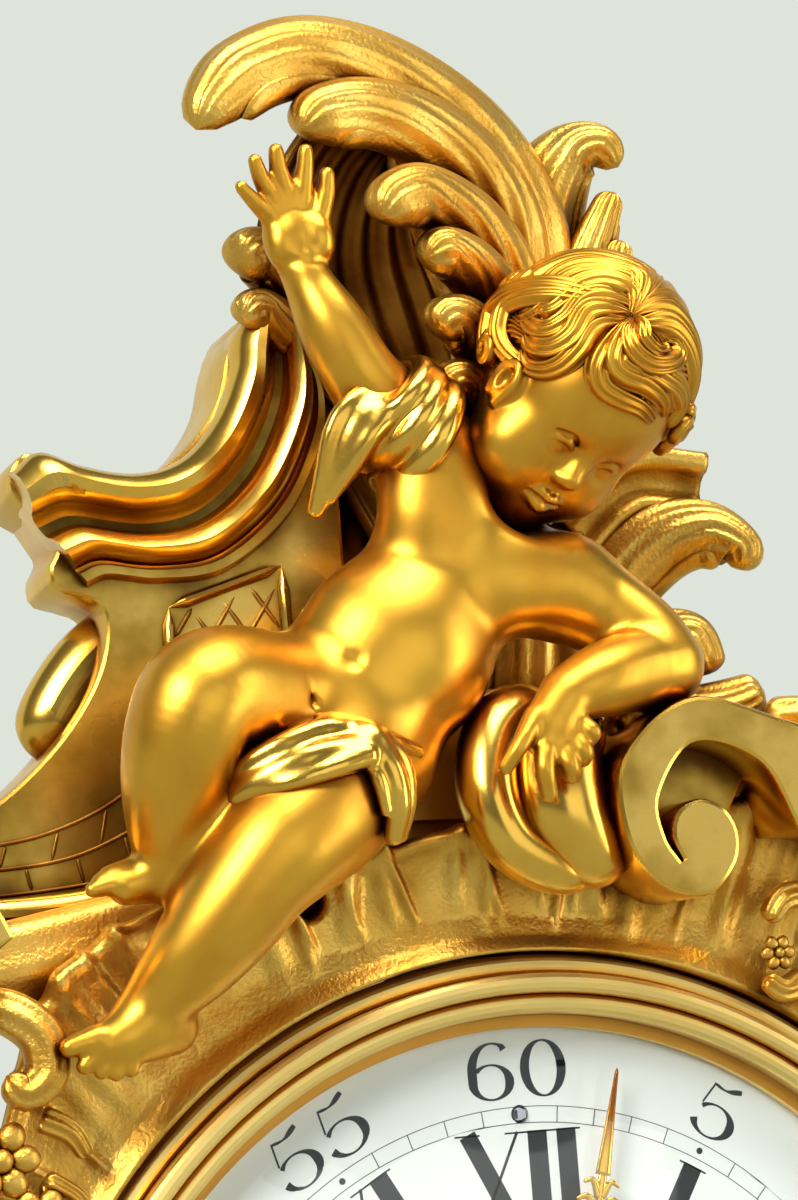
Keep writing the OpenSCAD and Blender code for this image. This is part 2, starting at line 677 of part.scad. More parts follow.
// Movement plates with the same pivot holes in both
train_p = [third_p, escape_p, anchor_p, pin_p, fly_p];
pillar_p = [polar(plate_r - 6, 75), polar(plate_r - 6, 105), polar(plate_r - 6, -60),
    polar(plate_r - 6, -120)];
module front_plate() {
    color(brass) {
        slab(fp0, fp1) difference() {
            circle(plate_r, $fn = 96);
            circle(centre_r + fit);
            for (p = train_p) translate(p) circle(pivot_r + fit, $fn = 32);
            for (p = [going_p, strike_p]) translate(p) circle(winding_r + fit);
        }
        // Stud for the minute wheel
        rod(minute_p, 1.5, fp1 - 1, fp1 + 6.1);
    }
}
module rear_plate() {
    color(brass) {
        slab(rp0, rp1) difference() {
            circle(plate_r, $fn = 96);
            for (p = concat([[0, 0], going_p, strike_p], train_p)) translate(p)
                circle(pivot_r + fit, $fn = 32);
        }
        rod(hammer_p, 1.5, rp0 - 12.4, rp0 + 1);
    }
}
module plate_pillars() { color(brass) for (p = pillar_p) rod(p, 3.5, rp1, fp0); }

module bell() {
    t = 1.8;
    color(brass) translate([bell_p.x, bell_p.y, rp0 - 33]) rotate_extrude($fn = 96)
        polygon([[2.5, 0], [5, 0], [16, 0.6], [25, 3], [30.5, 8], [33.2, 15], [34, 22], [34 - t, 22],
            [33.2 - t, 15], [30.5 - t, 8.6], [24.2, 3 + t], [16, 0.6 + t], [5, t], [2.5, t]]);
}
module bell_post() {
    color(steel) {
        rod(bell_p, 2.5, rp0 - 35, rp0);
        rod(bell_p, 4.4, rp0 - 35, rp0 - 33);
        rod(bell_p, 4.4, rp0 - 31.2, rp0 - 28);
    }
}
module suspension_cock() {
    color(brass) difference() {
        translate([-8, anchor_p.y + 4, rp0 - 10]) cube([16, regulator_p.y - anchor_p.y, 10]);
        translate([-4 - fit, anchor_p.y + 3, rod_z - 2.5 - fit]) cube([8 + 2*fit, 14, 5 + 2*fit]);
        rod(regulator_p, 1.2 + fit, 0, 200);
    }
}
module hinge_pins() {
    color(steel) {
        translate([hinge_x, 0, hinge_z]) rotate([90, 0, 0])
            cylinder(r = hinge_pin_r, h = 26, center = true);
        translate([-door_hole_r - 3.5, 0, 2.2]) rotate([90, 0, 0])
            cylinder(r = hinge_pin_r, h = 30, center = true);
    }
}

// Reeded bezel with a lip for the glass
function bead(r, z, q, n) = [for (i = [0:n]) [r + q*cos(180*i/n), z + q*sin(180*i/n)]];
bezel_w = bezel_out - bezel_in;
glass_z = bezel_z + 2.8;
module bezel_swing() {
    translate([hinge_x, 0, hinge_z]) rotate([0, bezel_angle, 0]) translate([-hinge_x, 0, -hinge_z])
        children();
}
module bezel_ring() {
    q = bezel_w/6;
    color(gilt) bezel_swing() difference() {
        union() {
            rotate_extrude($fn = 128) polygon(concat(
                [[bezel_in - bezel_lip, bezel_z], [bezel_out, bezel_z], [bezel_out, bezel_z + 4.4]],
                bead(bezel_in + 5*q - 0.3, bezel_z + 5.4, q - 0.2, 6),
                bead(bezel_in + 3*q, bezel_z + bezel_h - q, q, 6),
                bead(bezel_in + q, bezel_z + bezel_h - q - 1.6, q, 6),
                [[bezel_in, glass_z], [bezel_in - bezel_lip, glass_z]]));
            translate([hinge_x, 0, hinge_z]) rotate([90, 0, 0])
                cylinder(r = knuckle_r, h = 10, center = true);
            translate([bezel_out - 2, -5, bezel_z + 1]) cube([hinge_x - bezel_out + 2, 10, 3]);
            translate([hinge_x - knuckle_r + 0.2, -5, bezel_z + 1])
                cube([knuckle_r, 10, hinge_z - bezel_z - 1]);
        }
        translate([hinge_x, 0, hinge_z]) rotate([90, 0, 0])
            cylinder(r = hinge_pin_r + fit, h = 40, center = true);
    }
}
module bezel_glass() {
    r = bezel_in - 0.25;
    sphere_r = (r*r + glass_rise*glass_rise)/(2*glass_rise);
    function cap(q) = sqrt(sphere_r*sphere_r - q*q) - sphere_r + glass_rise;
    color([0.8, 0.9, 0.9, 0.35]) bezel_swing() translate([0, 0, glass_z]) rotate_extrude($fn = 128)
        polygon(concat([for (i = [0:14]) [r*i/14, cap(r*i/14)]],
            [for (i = [14:-1:0]) [r*i/14, cap(r*i/14) + glass_t]]));
}

// Hands: an open leafy blade on a ring
function blade_edge(length, s) = spline([[1.6*s, 3], [4.6*s, 0.14*length], [1.4*s, 0.24*length],
    [4.2*s, 0.36*length], [2.2*s, 0.48*length], [3.4*s, 0.58*length], [1.6*s, 0.72*length],
    [0.5*s, length]], 5);
module hand(length, bore, z) {
    difference() {
        union() {
            rod([0, 0], bore + 2.6, z, z + hand_t);
            slab(z, z + hand_t) polygon(concat(blade_edge(length, -1), turned(blade_edge(length, 1))));
        }
        rod([0, 0], bore, z - 1, z + 2);
        for (w = [[0.15, 2.2, 0.05], [0.37, 1.9, 0.06]]) translate([0, w[0]*length, z - 1])
            linear_extrude(3) polygon([[w[1], 0], [0, w[2]*length], [-w[1], 0], [0, -w[2]*length]]);
    }
}
module minute_hand() {
    color(gilt) rotate(-minute_at) hand(minute_len, cannon_r, dial_front + 3.6);
}
module hour_hand() {
    color(gilt) rotate(-hour_at) hand(hour_len, hour_pipe_r, dial_front + 1.3);
}

// Motion work behind the dial
module cannon_pinion() {
    color(steel) difference() {
        union() {
            slab(fp1 + 0.7, fp1 + 3.1) pinion_2d(12, motion_m1, 150);
            rod([0, 0], cannon_r, fp1 + 0.7, dial_front + 5);
        }
        rod([0, 0], centre_r + fit, 0, 200);
    }
}
module minute_wheel() {
    color(brass) translate(minute_p) difference() {
        union() {
            slab(fp1 + 1.1, fp1 + 2.5) crossed_wheel(36, motion_m1, 330 + 5, 4, 3, 7.4);
            slab(fp1 + 2, fp1 + 5.8) pinion_2d(10, motion_m2, 330 + 18);
        }
        rod([0, 0], 1.5 + fit, 0, 200);
    }
}
module hour_wheel() {
    color(brass) difference() {
        union() {
            slab(fp1 + 3.9, fp1 + 5.3) crossed_wheel(40, motion_m2, 150, 5, 2.8, 8.6);
            rod([0, 0], hour_pipe_r, fp1 + 3.9, dial_front + 2.6);
        }
        rod([0, 0], cannon_r + fit, 0, 200);
    }
}

// Going train
module barrel(p, teeth_z, drum_z0, drum_z1, at) {
    difference() {
        union() {
            translate(p) slab(teeth_z, teeth_z + 3) wheel_2d(60, barrel_m, at);
            rod(p, barrel_cd*0.75, drum_z0, drum_z1);
        }
        rod(p, winding_r + fit, 0, 200);
    }
}
module winding_arbor(p) {
    rod(p, pivot_r, rp0 + 0.3, rp1 + 1);
    rod(p, winding_r, rp1 + 0.4, dial_back - 2);
    translate([p.x, p.y, dial_back - 3]) translate([-1.8, -1.8, 0]) cube([3.6, 3.6, dial_t + 2.6]);
}
module going_barrel() { color(brass) barrel(going_p, rp1 + 3.5, rp1 + 3.5, rp1 + 29, 25); }
module going_arbor() { color(steel) winding_arbor(going_p); }
module strike_barrel() { color(brass) barrel(strike_p, rp1 + 27.5, rp1 + 6.6, rp1 + 30.5, 75); }
module strike_arbor() { color(steel) winding_arbor(strike_p); }
module centre_arbor() {
    color(brass) {
        rod([0, 0], pivot_r, rp0 + 0.3, rp1 + 1);
        rod([0, 0], centre_r, rp1 + 0.4, dial_front + 6.4);
        rod([0, 0], cannon_r + 1.2, dial_front + 5.2, dial_front + 6.4);
        slab(rp1 + 3.3, rp1 + 7.5) pinion_2d(10, barrel_m, 205 + 18);
        slab(rp1 + 31.5, rp1 + 33.5) crossed_wheel(80, centre_m, 125, 5, 5, 11.4);
    }
}
module third_wheel() {
    color(brass) {
        arbor(third_p, 1.3);
        translate(third_p) {
            slab(rp1 + 30.8, rp1 + 34.6) pinion_2d(8, centre_m, 305 + 22.5);
            slab(rp1 + 1.1, rp1 + 2.9) crossed_wheel(80, third_m, escape_a, 5, 4.6, 10);
        }
    }
}
module escape_wheel() {
    color(brass) {
        arbor(escape_p, 1.1);
        translate(escape_p) {
            slab(rp1 + 0.7, rp1 + 3.4) pinion_2d(8, third_m, escape_a + 180 + 22.5);
            // Forward-leaning teeth
            slab(rp1 + 31.5, rp1 + 33) difference() {
                union() {
                    circle(7.4, $fn = 72);
                    for (i = [0:35]) rotate(i*10)
                        polygon([[7.2, -0.35], [9.2, 0.3], [9.2, 0.5], [7.2, 0.45]]);
                }
                for (i = [0:3]) rotate(i*90) translate([4.2, 0]) circle(1.7);
            }
        }
    }
}
// Anchor with its arbor, pallets, and the crutch behind the rear plate
module anchor() {
    color(steel) {
        rod(anchor_p, pivot_r, rp0 - 3.4, fp1 - 0.3);
        rod(anchor_p, 1.3, rp1 + 0.4, fp0 - 0.4);
        translate(anchor_p) {
            slab(rp1 + 31.5, rp1 + 33) {
                circle(2.6);
                for (s = [-1, 1]) polygon([[0, 2.2], [9*s, -3], [11*s, -9], [9.4*s, -9.6],
                    [7.4*s, -4.6], [0, -1.2]]);
            }
            slab(rp0 - 3.4, rp0 - 1.8) {
                circle(2.4);
                translate([-1.3, -28]) square([2.6, 28]);
                translate([-3.2, -31]) square([6.4, 4]);
            }
            for (s = [-1, 1]) translate([s*(rod_r + 1.1) - 0.7, -31, rod_z - 1.4])
                cube([1.4, 4, rp0 - 2 - rod_z + 1.4]);
        }
    }
}

// Strike train
module pin_wheel() {
    color(brass) {
        arbor(pin_p, 1.3);
        translate(pin_p) {
            slab(rp1 + 26.9, rp1 + 31.1) pinion_2d(10, barrel_m, 255 + 18);
            slab(rp1 + 1.1, rp1 + 2.9) crossed_wheel(80, third_m, 130, 5, 3.4, 8.4);
            for (i = [0:9]) rotate(i*36 + 18) rod([14.6, 0], 0.8, rp1 + 2, rp1 + 6);
        }
    }
}
module fly() {
    color(brass) {
        arbor(fly_p, 1);
        translate(fly_p) {
            slab(rp1 + 0.7, rp1 + 3.4) pinion_2d(8, third_m, 310 + 22.5);
            translate([-11.5, -0.4, rp1 + 10]) cube([23, 0.8, 19]);
            rod([0, 0], 2, rp1 + 9, rp1 + 30);
        }
    }
}

// Pendulum, hung from a block that the regulator raises and lowers
module suspension_block() {
    color(steel) {
        translate([-4, anchor_p.y + 6, rod_z - 2.5]) cube([8, 7, 5]);
        translate([-2, anchor_p.y + 0.4, rod_z - 0.2]) cube([4, 6, 0.4]);
    }
}
module pendulum_rod() {
    color(steel) {
        translate([-2, anchor_p.y - 8, rod_z - 0.2]) cube([4, 7.6, 0.4]);
        translate([-2.6, anchor_p.y - 12, rod_z - 1.4]) cube([5.2, 5, 2.8]);
        translate([0, anchor_p.y - 9, rod_z]) rotate([90, 0, 0])
            cylinder(r = rod_r, h = pend_len + bob_r - 1);
    }
}
module pendulum_bob() {
    color(brass) difference() {
        translate([0, bob_y, rod_z]) for (t = [0, 180]) rotate([t, 0, 0]) {
            cylinder(r1 = bob_r, r2 = 0.92*bob_r, h = 2, $fn = 96);
            translate([0, 0, 2]) cylinder(r1 = 0.92*bob_r, r2 = 0.5*bob_r, h = 2.6, $fn = 96);
        }
        translate([0, bob_y + 40, rod_z]) rotate([90, 0, 0]) rotate(40) cylinder(r = rod_r, h = 80);
    }
}
module rating_nut() {
    color(brass) translate([0, bob_y - bob_r - 0.5, rod_z]) rotate([90, 0, 0]) difference() {
        cylinder(r = 4, h = 4, $fn = 48);
        translate([0, 0, -1]) cylinder(r = rod_r + fit, h = 10);
    }
}

module bell_hammer() {
    head = [bell_p.x + 39, 0];
    color(steel) difference() {
        union() {
            rod(hammer_p, 3.2, rp0 - 12, rp0 - 4);
            slab(rp0 - 12, rp0 - 10) hull() {
                translate(hammer_p) circle(2);
                translate(head) circle(1.6);
            }
            rod(head, 3.6, rp0 - 14, rp0 - 8);
        }
        rod(hammer_p, 1.5 + fit, 0, 200);
    }
}

module rear_door() {
    color(brass) difference() {
        union() {
            slab(1.5, 2.7) circle(door_hole_r - 1, $fn = 96);
            translate([-door_hole_r - 3.5, -5, 1.5]) cube([8, 10, 1.2]);
            translate([-door_hole_r - 3.5, 0, 2.2]) rotate([90, 0, 0])
                cylinder(r = 1.8, h = 10, center = true);
        }
        translate([-door_hole_r - 3.5, 0, 2.2]) rotate([90, 0, 0])
            cylinder(r = hinge_pin_r + fit, h = 40, center = true);
        rod([door_hole_r - 9, 0], 1.5 + fit, 0, 10);
    }
}
module rear_latch() {
    color(steel) translate([door_hole_r - 9, 0, 0]) {
        rod([0, 0], 1.5, 0.2, 4.3);
        difference() {
            rod([0, 0], 5, 0.2, 1.4);
            translate([-6, -0.6, 0]) cube([12, 1.2, 0.7]);
        }
        translate([-3, -4, back_t + 0.15]) cube([6, 17, 1.2]);
    }
}
module regulator_arbor() {
    color(steel) {
        rod(regulator_p, 1.2, rp0 - 11, dial_front - 0.5);
        translate([regulator_p.x - 0.8, regulator_p.y - 0.8, dial_front - 1]) cube([1.6, 1.6, 2]);
        rod(regulator_p, 2.4, rp0 - 12.5, rp0 - 10.4);
    }
}

upright() {
    back_plate();
    case_drum();
    case_screws();
    pendulum_box();
    sound_fret();
    fret_silk();
    apron_scrolls();
    apron_leaf();
    rocaille_surround();
    left_cartouche();
    crest_leaf();
    crest_side_leaf();
    right_wing();
    right_c_scroll();
    left_c_scroll();
    scroll_bolster();
    flower_sprays();
    putto_body();
    putto_head();
    putto_raised_arm();
    putto_resting_arm();
    putto_bent_leg();
    putto_long_leg();
    putto_drapery();
    dial();
    winding_eyelets();
    movement_straps();
    front_plate();
    rear_plate();
    plate_pillars();
    bell();
    bell_post();
    suspension_cock();
    hinge_pins();
    bezel_ring();
    bezel_glass();
    minute_hand();
    hour_hand();
    cannon_pinion();
    hour_wheel();
    minute_wheel();
    going_barrel();
    going_arbor();
    strike_barrel();
    strike_arbor();
    centre_arbor();
    third_wheel();
    escape_wheel();
    anchor();
    pin_wheel();
    fly();
    suspension_block();
    pendulum_rod();
    pendulum_bob();
    rating_nut();
    bell_hammer();
    rear_door();
    rear_latch();
    regulator_arbor();
}
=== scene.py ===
"""Gilt rococo wall clock, dressed on its solid frame: cast figure, leaves, scrolls, dial and finishes."""
import math

import bmesh
import bpy
import numpy as np
import openvdb as vdb
from mathutils import Matrix, Vector, geometry

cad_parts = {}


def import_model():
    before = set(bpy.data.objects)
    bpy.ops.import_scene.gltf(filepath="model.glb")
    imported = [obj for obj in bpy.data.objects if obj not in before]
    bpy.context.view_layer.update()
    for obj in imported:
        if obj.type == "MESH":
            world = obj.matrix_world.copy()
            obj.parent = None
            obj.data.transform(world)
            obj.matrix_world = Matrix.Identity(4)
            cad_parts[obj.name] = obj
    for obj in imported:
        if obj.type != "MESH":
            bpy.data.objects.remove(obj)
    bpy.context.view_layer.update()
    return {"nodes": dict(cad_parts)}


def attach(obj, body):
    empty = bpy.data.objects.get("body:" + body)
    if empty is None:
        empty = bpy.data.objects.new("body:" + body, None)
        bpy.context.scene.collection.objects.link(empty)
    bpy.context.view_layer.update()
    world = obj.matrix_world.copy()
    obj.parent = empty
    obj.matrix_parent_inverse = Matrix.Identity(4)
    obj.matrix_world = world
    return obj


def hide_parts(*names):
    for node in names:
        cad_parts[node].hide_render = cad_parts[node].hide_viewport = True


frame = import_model()

# Pieces are laid out in clock millimetres: x to the right, up from the dial's centre, depth from the wall.
# HANG is from the dial's centre up to the frame's origin, FRONT is the depth of the dial's face, and
# INK_LEVEL that of its figures.
HANG = 132.0
FRONT = 92.0
INK_LEVEL = FRONT + 0.03
# A face whose normal points this much to the front is a flat front face
FACING = 0.97
rng = np.random.default_rng(7)


# Helpers for points, lines and meshes

def arr(p):
    """Anything with numbers as an array of floats."""
    return np.asarray(p, dtype=float)


def unit(v):
    """Vectors brought to length 1."""
    v = arr(v)
    return v/np.linalg.norm(v, axis=-1, keepdims=True)


def world(p):
    """Clock millimetres to metres in the shared frame."""
    p = arr(p)
    return np.stack([p[..., 0], -p[..., 2], p[..., 1] - HANG], -1)/1000


def smooth_line(points, n):
    """A smooth line through points of any number of columns, cut into n even steps."""
    p = arr(points)
    p = np.vstack([2*p[0] - p[1], p, 2*p[-1] - p[-2]])
    t = np.linspace(0, 1, 24, endpoint=False)[:, None]
    rows = [0.5*(2*b + (c - a)*t + (2*a - 5*b + 4*c - d)*t*t + (3*b - a - 3*c + d)*t**3)
            for a, b, c, d in zip(p[:-3], p[1:-2], p[2:-1], p[3:])]
    q = np.vstack(rows + [p[-2:-1]])
    s = np.concatenate([[0], np.cumsum(np.linalg.norm(np.diff(q[:, :3], axis=0), axis=1))])
    at = np.linspace(0, s[-1], n)
    return np.stack([np.interp(at, s, q[:, k]) for k in range(q.shape[1])], 1)


def put(name, data):
    """An object of a mesh, a lamp or a camera, put in the scene."""
    obj = bpy.data.objects.new(name, data)
    bpy.context.scene.collection.objects.link(obj)
    return obj


def piece(name, parts, finish, nodes=(), body="case", sharp=None, front=None, thick=None):
    """One mesh of (points in clock mm, faces) parts that rides on a body and may stand for CAD nodes.
    A second finish can go on its flat front faces, and flat drawings can be given a thickness."""
    points, faces, base = [], [], 0
    for v, f in parts:
        points.append(arr(v))
        faces += [[i + base for i in face] for face in f]
        base += len(v)
    mesh = bpy.data.meshes.new(name)
    mesh.from_pydata(world(np.vstack(points)).tolist(), [], faces)
    bm = bmesh.new()
    bm.from_mesh(mesh)
    bmesh.ops.remove_doubles(bm, verts=bm.verts, dist=1e-6)
    if thick:
        bm.normal_update()
        bmesh.ops.reverse_faces(bm, faces=[f for f in bm.faces if f.normal.y > 0])
        bmesh.ops.solidify(bm, geom=bm.faces[:], thickness=thick/1000)
    bmesh.ops.recalc_face_normals(bm, faces=bm.faces)
    bm.to_mesh(mesh)
    bm.free()
    mesh.shade_smooth()
    if sharp:
        mesh.set_sharp_from_angle(angle=math.radians(sharp))
    mesh.materials.append(finish)
    # The flat front faces take the front finish, whose darker tone is partly painted shade
    if front:
        mesh.materials.append(front)
        for p in mesh.polygons:
            flat = p.normal.y < -FACING
            p.material_index = int(flat)
            p.use_smooth = not flat
    obj = put(name, mesh)
    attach(obj, body)
    if nodes:
        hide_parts(*nodes)
    return obj


def grid_faces(n, m, wrap_m=False, wrap_n=False):
    """Faces of n rows of m points, closed into a ring where asked."""
    return [[i*m + j, i*m + (j + 1) % m, ((i + 1) % n)*m + (j + 1) % m, ((i + 1) % n)*m + j]
            for i in range(n if wrap_n else n - 1) for j in range(m if wrap_m else m - 1)]


def sweep(line, outlines, out):
    """Closed outlines of (side, out) points along a line; out is where the front looks."""
    line = arr(line)[:, :3]
    along = unit(np.gradient(line, axis=0))
    out = np.broadcast_to(arr(out), line.shape)
    out = unit(out - (out*along).sum(1)[:, None]*along)
    side = np.cross(along, out)
    rings = [line[i] + o[:, :1]*side[i] + o[:, 1:]*out[i] for i, o in enumerate(outlines)]
    n, m = len(line), len(outlines[0])
    faces = grid_faces(n, m, wrap_m=True) + [list(range(m))[::-1], list(range((n - 1)*m, n*m))]
    return np.vstack(rings), faces


def lobe(points, out=(0, 0, 1), ribs=3, cup=0.2, rib=0.5, n=44, m=36, tip=0.16, root=0.0):
    """A ribbed acanthus lobe along rows of (x, up, depth, half width, half thickness), with a rolled tip."""
    q = smooth_line(points, n)
    s = np.linspace(0, 1, n)

    def rounded(x):
        """Share of the full size towards a round end, never quite nothing."""
        return np.sqrt(np.clip(1 - x.clip(0)**2, 0.0009, 1))

    end = rounded((s - 1 + tip)/tip)
    if root:
        end = end*rounded((root - s)/root)
    if np.ndim(out) == 2:
        out = smooth_line(out, n)
    a = np.linspace(0, 2*np.pi, m, endpoint=False)
    x, y = np.cos(a), np.sin(a)
    front = np.clip(2.5*y, 0, 1)
    outlines = []
    for k in range(n):
        w, t = q[k, 3]*end[k], q[k, 4]*end[k]
        ridge = rib*np.cos((2*ribs + 1)*np.pi*x/2)*front*end[k]
        outlines.append(np.stack([w*x, t*y + ridge - cup*w*x*x], 1))
    return sweep(q, outlines, out)


def tube(points, n=40, m=14, tip=0.12):
    """A round rod along rows of (x, up, depth, radius) with a rounded tip."""
    rows = [list(p[:3]) + [p[3], p[3]] for p in points]
    return lobe(rows, out=(0.2, 0.3, 1), ribs=0, cup=0, rib=0, n=n, m=m, tip=tip, root=tip)


def ball(centre, radii, n=20, m=28):
    """A plain ellipsoid."""
    b = np.linspace(0, np.pi, n)[:, None]
    a = np.linspace(0, 2*np.pi, m, endpoint=False)[None]
    v = np.stack([np.sin(b)*np.cos(a), np.sin(b)*np.sin(a), np.cos(b)*np.ones_like(a)], -1)
    return (arr(centre) + v*arr(radii)).reshape(-1, 3), grid_faces(n, m, wrap_m=True)


def revolve(profile, n=64):
    """A turned ring from closed (radius, depth) points about the dial's axis."""
    p = arr(profile)
    a = np.linspace(0, 2*np.pi, n, endpoint=False)[:, None]
    v = np.stack([p[:, 0]*np.cos(a), p[:, 0]*np.sin(a), p[:, 1]*np.ones_like(a)], -1)
    return v.reshape(-1, 3), grid_faces(n, len(p), wrap_m=True, wrap_n=True)


def plate(outline, low, high, bevel=0.8):
    """A flat plate with a worn front edge, from a closed (x, up) outline."""
    p = arr(outline)
    if np.sum(p[:, 0]*np.roll(p[:, 1], -1) - np.roll(p[:, 0], -1)*p[:, 1]) < 0:
        p = p[::-1]
    t = unit(np.roll(p, -1, 0) - np.roll(p, 1, 0))
    inward = np.stack([-t[:, 1], t[:, 0]], 1)
    rings = [(p, low), (p, high - bevel), (p + 0.3*bevel*inward, high - 0.3*bevel),
             (p + bevel*inward, high)]
    v = np.vstack([np.column_stack([q, np.full(len(q), z)]) for q, z in rings])
    m = len(p)
    f = grid_faces(4, m, wrap_m=True)
    tris = geometry.tessellate_polygon([[Vector((x, y, 0)) for x, y in rings[3][0]]])
    f += [[3*m + i for i in t3] for t3 in tris] + [[i for i in t3][::-1] for t3 in tris]
    return v, f


class Clay:
    """A block of small cells in which rounded forms are joined smoothly, as a modeller joins wax."""

    # Distance in mm that stands for an empty cell
    FAR = 9.0

    def __init__(self, low, high, step):
        self.low, self.step = arr(low), step
        n = np.ceil((arr(high) - self.low)/step).astype(int) + 1
        self.cells = np.full(n, self.FAR, np.float32)

    def window(self, low, high, reach):
        """The cells within reach of a box."""
        a = np.clip(np.floor((arr(low) - reach - self.low)/self.step).astype(int), 0, None)
        b = np.clip(np.ceil((arr(high) + reach - self.low)/self.step).astype(int) + 1, 0, self.cells.shape)
        return tuple(slice(i, max(i, j)) for i, j in zip(a, b))

    def places(self, where):
        """Where cells lie, in clock millimetres."""
        axes = [self.low[k] + self.step*np.arange(w.start, w.stop) for k, w in enumerate(where)]
        return np.stack(np.meshgrid(*axes, indexing="ij"), -1)

    def join(self, where, d, blend, cut):
        """Smooth union with a form, or a smooth cut by it."""
        a = self.cells[where]
        if cut:
            h = np.clip(0.5 - 0.5*(a + d)/blend, 0, 1)
            self.cells[where] = a + (-d - a)*h + blend*h*(1 - h)
        else:
            h = np.clip(0.5 + 0.5*(a - d)/blend, 0, 1)
            self.cells[where] = a + (d - a)*h - blend*h*(1 - h)

    def chain(self, points, blend, cut=False):
        """One smooth limb through rows of (x, up, depth, radius), joined to the rest once."""
        q = smooth_line(points, 8*len(points) - 7) if len(points) > 2 else arr(points)
        r = q[:, 3].max()
        where = self.window(q[:, :3].min(0) - r, q[:, :3].max(0) + r, blend + 1)
        d = np.full(self.cells[where].shape, 99.0)
        for a, b in zip(q[:-1], q[1:]):
            r = max(a[3], b[3])
            near = self.window(np.minimum(a, b)[:3] - r, np.maximum(a, b)[:3] + r, blend + 1)
            x = self.places(near)
            if x.size:
                e = b[:3] - a[:3]
                t = np.clip(((x - a[:3]) @ e)/(e @ e), 0, 1)
                here = tuple(slice(n.start - w.start, n.stop - w.start) for n, w in zip(near, where))
                gap = np.linalg.norm(x - a[:3] - t[..., None]*e, axis=-1) - (a[3] + t*(b[3] - a[3]))
                d[here] = np.minimum(d[here], gap)
        self.join(where, d, blend, cut)

    def egg(self, centre, radii, blend, axes=None, cut=False):
        """An ellipsoid; the rows of axes are its own directions."""
        c, r = arr(centre), arr(radii)
        axes = np.eye(3) if axes is None else arr(axes)
        where = self.window(c - r.max(), c + r.max(), blend + 1)
        y = (self.places(where) - c) @ axes.T
        k0 = np.linalg.norm(y/r, axis=-1)
        k1 = np.linalg.norm(y/(r*r), axis=-1) + 1e-9
        self.join(where, k0*(k0 - 1)/k1, blend, cut)

    def part(self):
        """The surface as points and faces."""
        g = vdb.FloatGrid(self.FAR)
        g.copyFromArray(self.cells)
        points, quads = g.convertToQuads(isovalue=0.0)
        return self.low + points*self.step, quads.tolist()


# Finishes: every pattern's size and depth is in millimetres

# Size of the gilding's cloudy patches, and how many times longer than wide its brush marks are
CLOUD_SIZE, STREAK = 14.0, 14


def colour(code):
    """sRGB hex to the linear colour that the nodes take."""
    c = [int(code[i:i + 2], 16)/255 for i in (1, 3, 5)]
    return [v/12.92 if v <= 0.04045 else ((v + 0.055)/1.055)**2.4 for v in c] + [1.0]


def add(tree, kind, links=None, stops=(), **props):
    """A node with its settings; links give each input a value, an output, or a node for its first output."""
    n = tree.nodes.new(kind)
    for k, (at, c) in enumerate(stops):
        e = n.color_ramp.elements[k] if k < 2 else n.color_ramp.elements.new(at)
        e.position, e.color = at, c
    for k, v in props.items():
        setattr(n, k, v)
    for k, v in (links or {}).items():
        v = v.outputs[0] if isinstance(v, bpy.types.Node) else v
        if isinstance(v, bpy.types.NodeSocket):
            tree.links.new(v, n.inputs[k])
        else:
            n.inputs[k].default_value = v
    return n


def finish_tree(name):
    """A new material, its empty tree and the Object coordinates in it."""
    m = bpy.data.materials.new(name)
    m.use_nodes = True
    m.node_tree.nodes.clear()
    return m, m.node_tree, add(m.node_tree, "ShaderNodeTexCoord").outputs["Object"]


def gilt(name, light, mid, deep, rough, grain=0.3, depth=0.02, reach=5.0, mottle=0.2, lacquer=0.4,
         brushed=False):
    """Mercury gilding on bronze, grained or brushed: pale on open forms, painted shade and patina in hollows.
    """
    m, t, co = finish_tree(name)
    # Painted shade: the hollows' occlusion darkens the colour from the light tone to the deep one, partly as
    # patina
    hollow = add(t, "ShaderNodeAmbientOcclusion", {"Distance": reach/1000}, samples=6)
    cloud = add(t, "ShaderNodeTexNoise", {"Vector": co, "Scale": 1000/CLOUD_SIZE, "Detail": 4.0})
    patch = add(t, "ShaderNodeMapRange", {"Value": cloud, "From Min": 0.3, "From Max": 0.7,
                                          "To Min": -mottle, "To Max": 0.3*mottle})
    shade = add(t, "ShaderNodeMath", {0: hollow.outputs["AO"], 1: patch}, operation="ADD")
    base = add(t, "ShaderNodeValToRGB", {"Fac": shade},
               stops=((0.30, colour(deep)), (0.68, colour(mid)), (1.0, colour(light))))
    if brushed:
        lay = add(t, "ShaderNodeMapping", {"Vector": co, "Rotation": (0.3, 0.5, 0.4),
                                           "Scale": (1, 1, STREAK)})
        fine = add(t, "ShaderNodeTexNoise", {"Vector": lay, "Scale": 1000/(grain*STREAK), "Detail": 2.0})
    else:
        fine = add(t, "ShaderNodeTexNoise", {"Vector": co, "Scale": 1000/grain, "Detail": 2.0})
    wear = add(t, "ShaderNodeMapRange", {"Value": cloud, "From Min": 0.3, "From Max": 0.7,
                                         "To Min": rough + 0.06, "To Max": rough - 0.05})
    bump = add(t, "ShaderNodeBump", {"Height": fine, "Strength": 1.0, "Distance": depth/1000})
    s = add(t, "ShaderNodeBsdfPrincipled", {"Base Color": base, "Metallic": 1.0, "Coat Weight": lacquer,
                                            "Coat Roughness": 0.25, "Roughness": wear, "Normal": bump})
    add(t, "ShaderNodeOutputMaterial", {"Surface": s})
    return m


def plain_metal(name, tone, rough, grain=0.2, depth=0.004):
    """Turned or filed metal with a faint grain."""
    m, t, co = finish_tree(name)
    fine = add(t, "ShaderNodeTexNoise", {"Vector": co, "Scale": 1000/grain, "Detail": 2.0})
    wear = add(t, "ShaderNodeMapRange", {"Value": fine, "To Min": rough - 0.06, "To Max": rough + 0.06})
    bump = add(t, "ShaderNodeBump", {"Height": fine, "Distance": depth/1000})
    s = add(t, "ShaderNodeBsdfPrincipled", {"Base Color": colour(tone), "Metallic": 1.0,
                                            "Roughness": wear, "Normal": bump})
    add(t, "ShaderNodeOutputMaterial", {"Surface": s})
    return m


